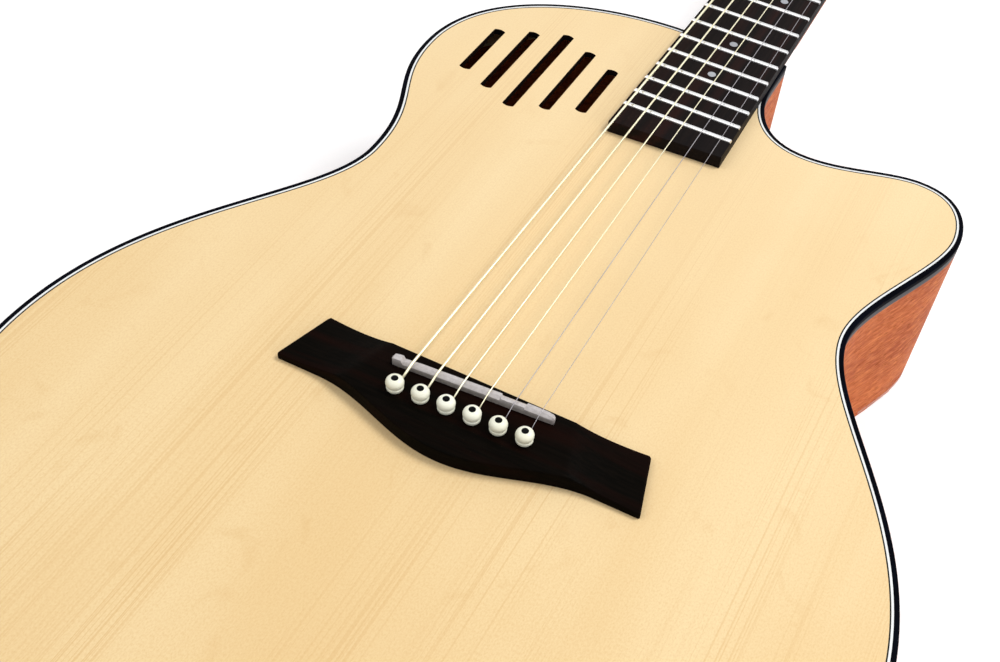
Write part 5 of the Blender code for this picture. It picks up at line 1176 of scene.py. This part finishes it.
def make_jack():
    place = axis_frame((0, SADDLE_Y + TAIL_Y, MIDDLE_Z), (0, -1, 0), (0, 0, 1))
    bm = bmesh.new()
    proud, seat = 0.015, 2 * GAP
    add_turned(bm, (
        (0.0033, -0.032), (0.0055, -0.032), (0.0055, seat), (0.0082, seat), (0.0085, seat + 0.0004), (0.0085, seat + 0.0018),
        (0.0078, seat + 0.0028), (0.0066, seat + 0.0036), (0.0062, seat + 0.0046), (0.0062, proud - 0.0056),
        (0.0066, proud - 0.0044), (0.0074, proud - 0.0032), (0.0077, proud - 0.0022), (0.0077, proud - 0.0012),
        (0.0070, proud - 0.0003), (0.0062, proud), (0.0040, proud), (0.0033, proud - 0.0008),
    ), place, 48, ring=True)
    finish("output_jack_finish", bm, NICKEL, nodes=["output_jack"])


# Strings

def make_strings():
    for number in range(1, 7):
        source = frame["nodes"][f"string_{number}"]
        bm = bmesh.new()
        bm.from_mesh(source.data)
        bmesh.ops.remove_doubles(bm, verts=bm.verts, dist=0.000002)
        bmesh.ops.join_triangles(
            bm, faces=bm.faces, angle_face_threshold=radians(40), angle_shape_threshold=radians(60)
        )
        look, slot = (BRONZE_WINDING, "bronze_string") if number <= 4 else (PLAIN_WIRE, "steel")
        finish(f"string_{number}_finish", bm, look, nodes=[f"string_{number}"], sharp=radians(70))


# View and light

CAMERA_PLACE = (0.1379, -0.2732 + SADDLE_Y, 0.3663 + TOP_Z)
CAMERA_FORWARD = (-0.2139, 0.5928, -0.7764)
CAMERA_RIGHT = (0.8947, 0.4379, 0.0879)
CAMERA_LENS = 44.75
CAMERA_SHIFT = (-0.063, 0.111)


def make_camera():
    data = bpy.data.cameras.new("photograph_view")
    data.lens = CAMERA_LENS
    data.sensor_width = 36
    data.shift_x, data.shift_y = CAMERA_SHIFT
    data.clip_start = 0.01
    camera = bpy.data.objects.new("photograph_view", data)
    back = -Vector(CAMERA_FORWARD).normalized()
    right = Vector(CAMERA_RIGHT)
    right = (right - back * right.dot(back)).normalized()
    turned = Matrix((right, back.cross(right), back)).transposed().to_4x4()
    turned.translation = CAMERA_PLACE
    camera.matrix_world = turned
    bpy.context.scene.collection.objects.link(camera)
    bpy.context.scene.camera = camera


def add_lamp(name, place, target, size, power):
    data = bpy.data.lights.new(name, "AREA")
    data.shape = "DISK"
    data.size = size
    data.energy = power
    lamp = bpy.data.objects.new(name, data)
    lamp.location = place
    lamp.rotation_euler = (Vector(target) - Vector(place)).to_track_quat("-Z", "Y").to_euler()
    bpy.context.scene.collection.objects.link(lamp)


def make_studio():
    scene = bpy.context.scene
    scene.view_settings.view_transform = "Standard"
    world = bpy.data.worlds.new("studio")
    world.use_nodes = True
    tree = world.node_tree
    tree.nodes.clear()
    path = tree.nodes.new("ShaderNodeLightPath")
    seen = tree.nodes.new("ShaderNodeMath")
    seen.operation = "MAXIMUM"
    tree.links.new(path.outputs["Is Camera Ray"], seen.inputs[0])
    tree.links.new(path.outputs["Is Glossy Ray"], seen.inputs[1])
    soft, white = tree.nodes.new("ShaderNodeBackground"), tree.nodes.new("ShaderNodeBackground")
    soft.inputs["Color"].default_value = (0.96, 0.98, 1.0, 1)
    soft.inputs["Strength"].default_value = 0.42
    white.inputs["Strength"].default_value = 1.0
    white.inputs["Color"].default_value = (1, 1, 1, 1)
    mixed = tree.nodes.new("ShaderNodeMixShader")
    tree.links.new(seen.outputs[0], mixed.inputs[0])
    tree.links.new(soft.outputs[0], mixed.inputs[1])
    tree.links.new(white.outputs[0], mixed.inputs[2])
    out = tree.nodes.new("ShaderNodeOutputWorld")
    tree.links.new(mixed.outputs[0], out.inputs["Surface"])
    scene.world = world
    add_lamp("key_light", (0.95, 0.45, 1.9), (0, -0.2, 0.05), 0.9, 27.5)
    add_lamp("fill_light", (-1.0, -1.1, 1.7), (0, -0.2, 0.05), 1.8, 9.5)
    add_lamp("side_light", (1.7, -0.9, 0.7), (0.1, -0.2, 0.05), 1.0, 6)


def make_floor():
    look = Look("studio_floor", (0.92, 0.92, 0.92), 0.9)
    cloud = look.noise((2, 2, 2), detail=2)
    look.drive("Base Color", look.blend(look.spread(cloud, 0.3, 0.7), (0.93, 0.93, 0.93), (0.91, 0.91, 0.91)))
    path = look.node("ShaderNodeLightPath")
    look.shader.inputs["Emission Color"].default_value = (1, 1, 1, 1)
    place = look.node("ShaderNodeTexCoord").outputs["Object"]
    away = look.node("ShaderNodeVectorMath", {0: place}, operation="LENGTH").outputs["Value"]
    glow = look.spread(away, 0.9, 3.0, 0.25, 0.8)
    seen = {0: path.outputs["Is Camera Ray"], 1: glow}
    look.drive("Emission Strength", look.node("ShaderNodeMath", seen, operation="MULTIPLY").outputs[0])
    bm = bmesh.new()
    reach = 12.0
    corners = [bm.verts.new((x * reach, y * reach, -0.0004)) for x, y in ((-1, -1), (1, -1), (1, 1), (-1, 1))]
    bm.faces.new(corners)
    mesh = bpy.data.meshes.new("studio_floor")
    bm.to_mesh(mesh)
    bm.free()
    mesh.materials.append(look.material)
    floor = bpy.data.objects.new("studio_floor", mesh)
    bpy.context.scene.collection.objects.link(floor)


# Whole scene

def make_inner_parts():
    for node in ("top_lining", "back_lining", "top_bracing", "back_bracing"):
        paint(node, RAW_SPRUCE)
    for node in ("neck_block", "tail_block", "bridge_plate"):
        paint(node, RAW_MAHOGANY)
    for node in ("truss_rod", "truss_rod_nut"):
        paint(node, STEEL)
    paint("pickup_strip", NICKEL)


make_camera()
make_studio()
make_floor()
make_soundboard()
make_trim()
make_sides()
make_back()
make_bridge()
make_saddle()
make_pins()
make_neck()
make_heel_cap()
make_fretboard()
make_frets()
make_dots()
refined("nut", NUT_BONE, 0.00025)
for tuner in range(1, 7):
    make_post(tuner)
    make_button(tuner)
make_plates()
make_cover()
make_preamp()
make_battery()
make_jack()
make_strings()
make_inner_parts()
if "back_binding" in frame["nodes"]:
    paint("back_binding", SIDE_MAHOGANY)
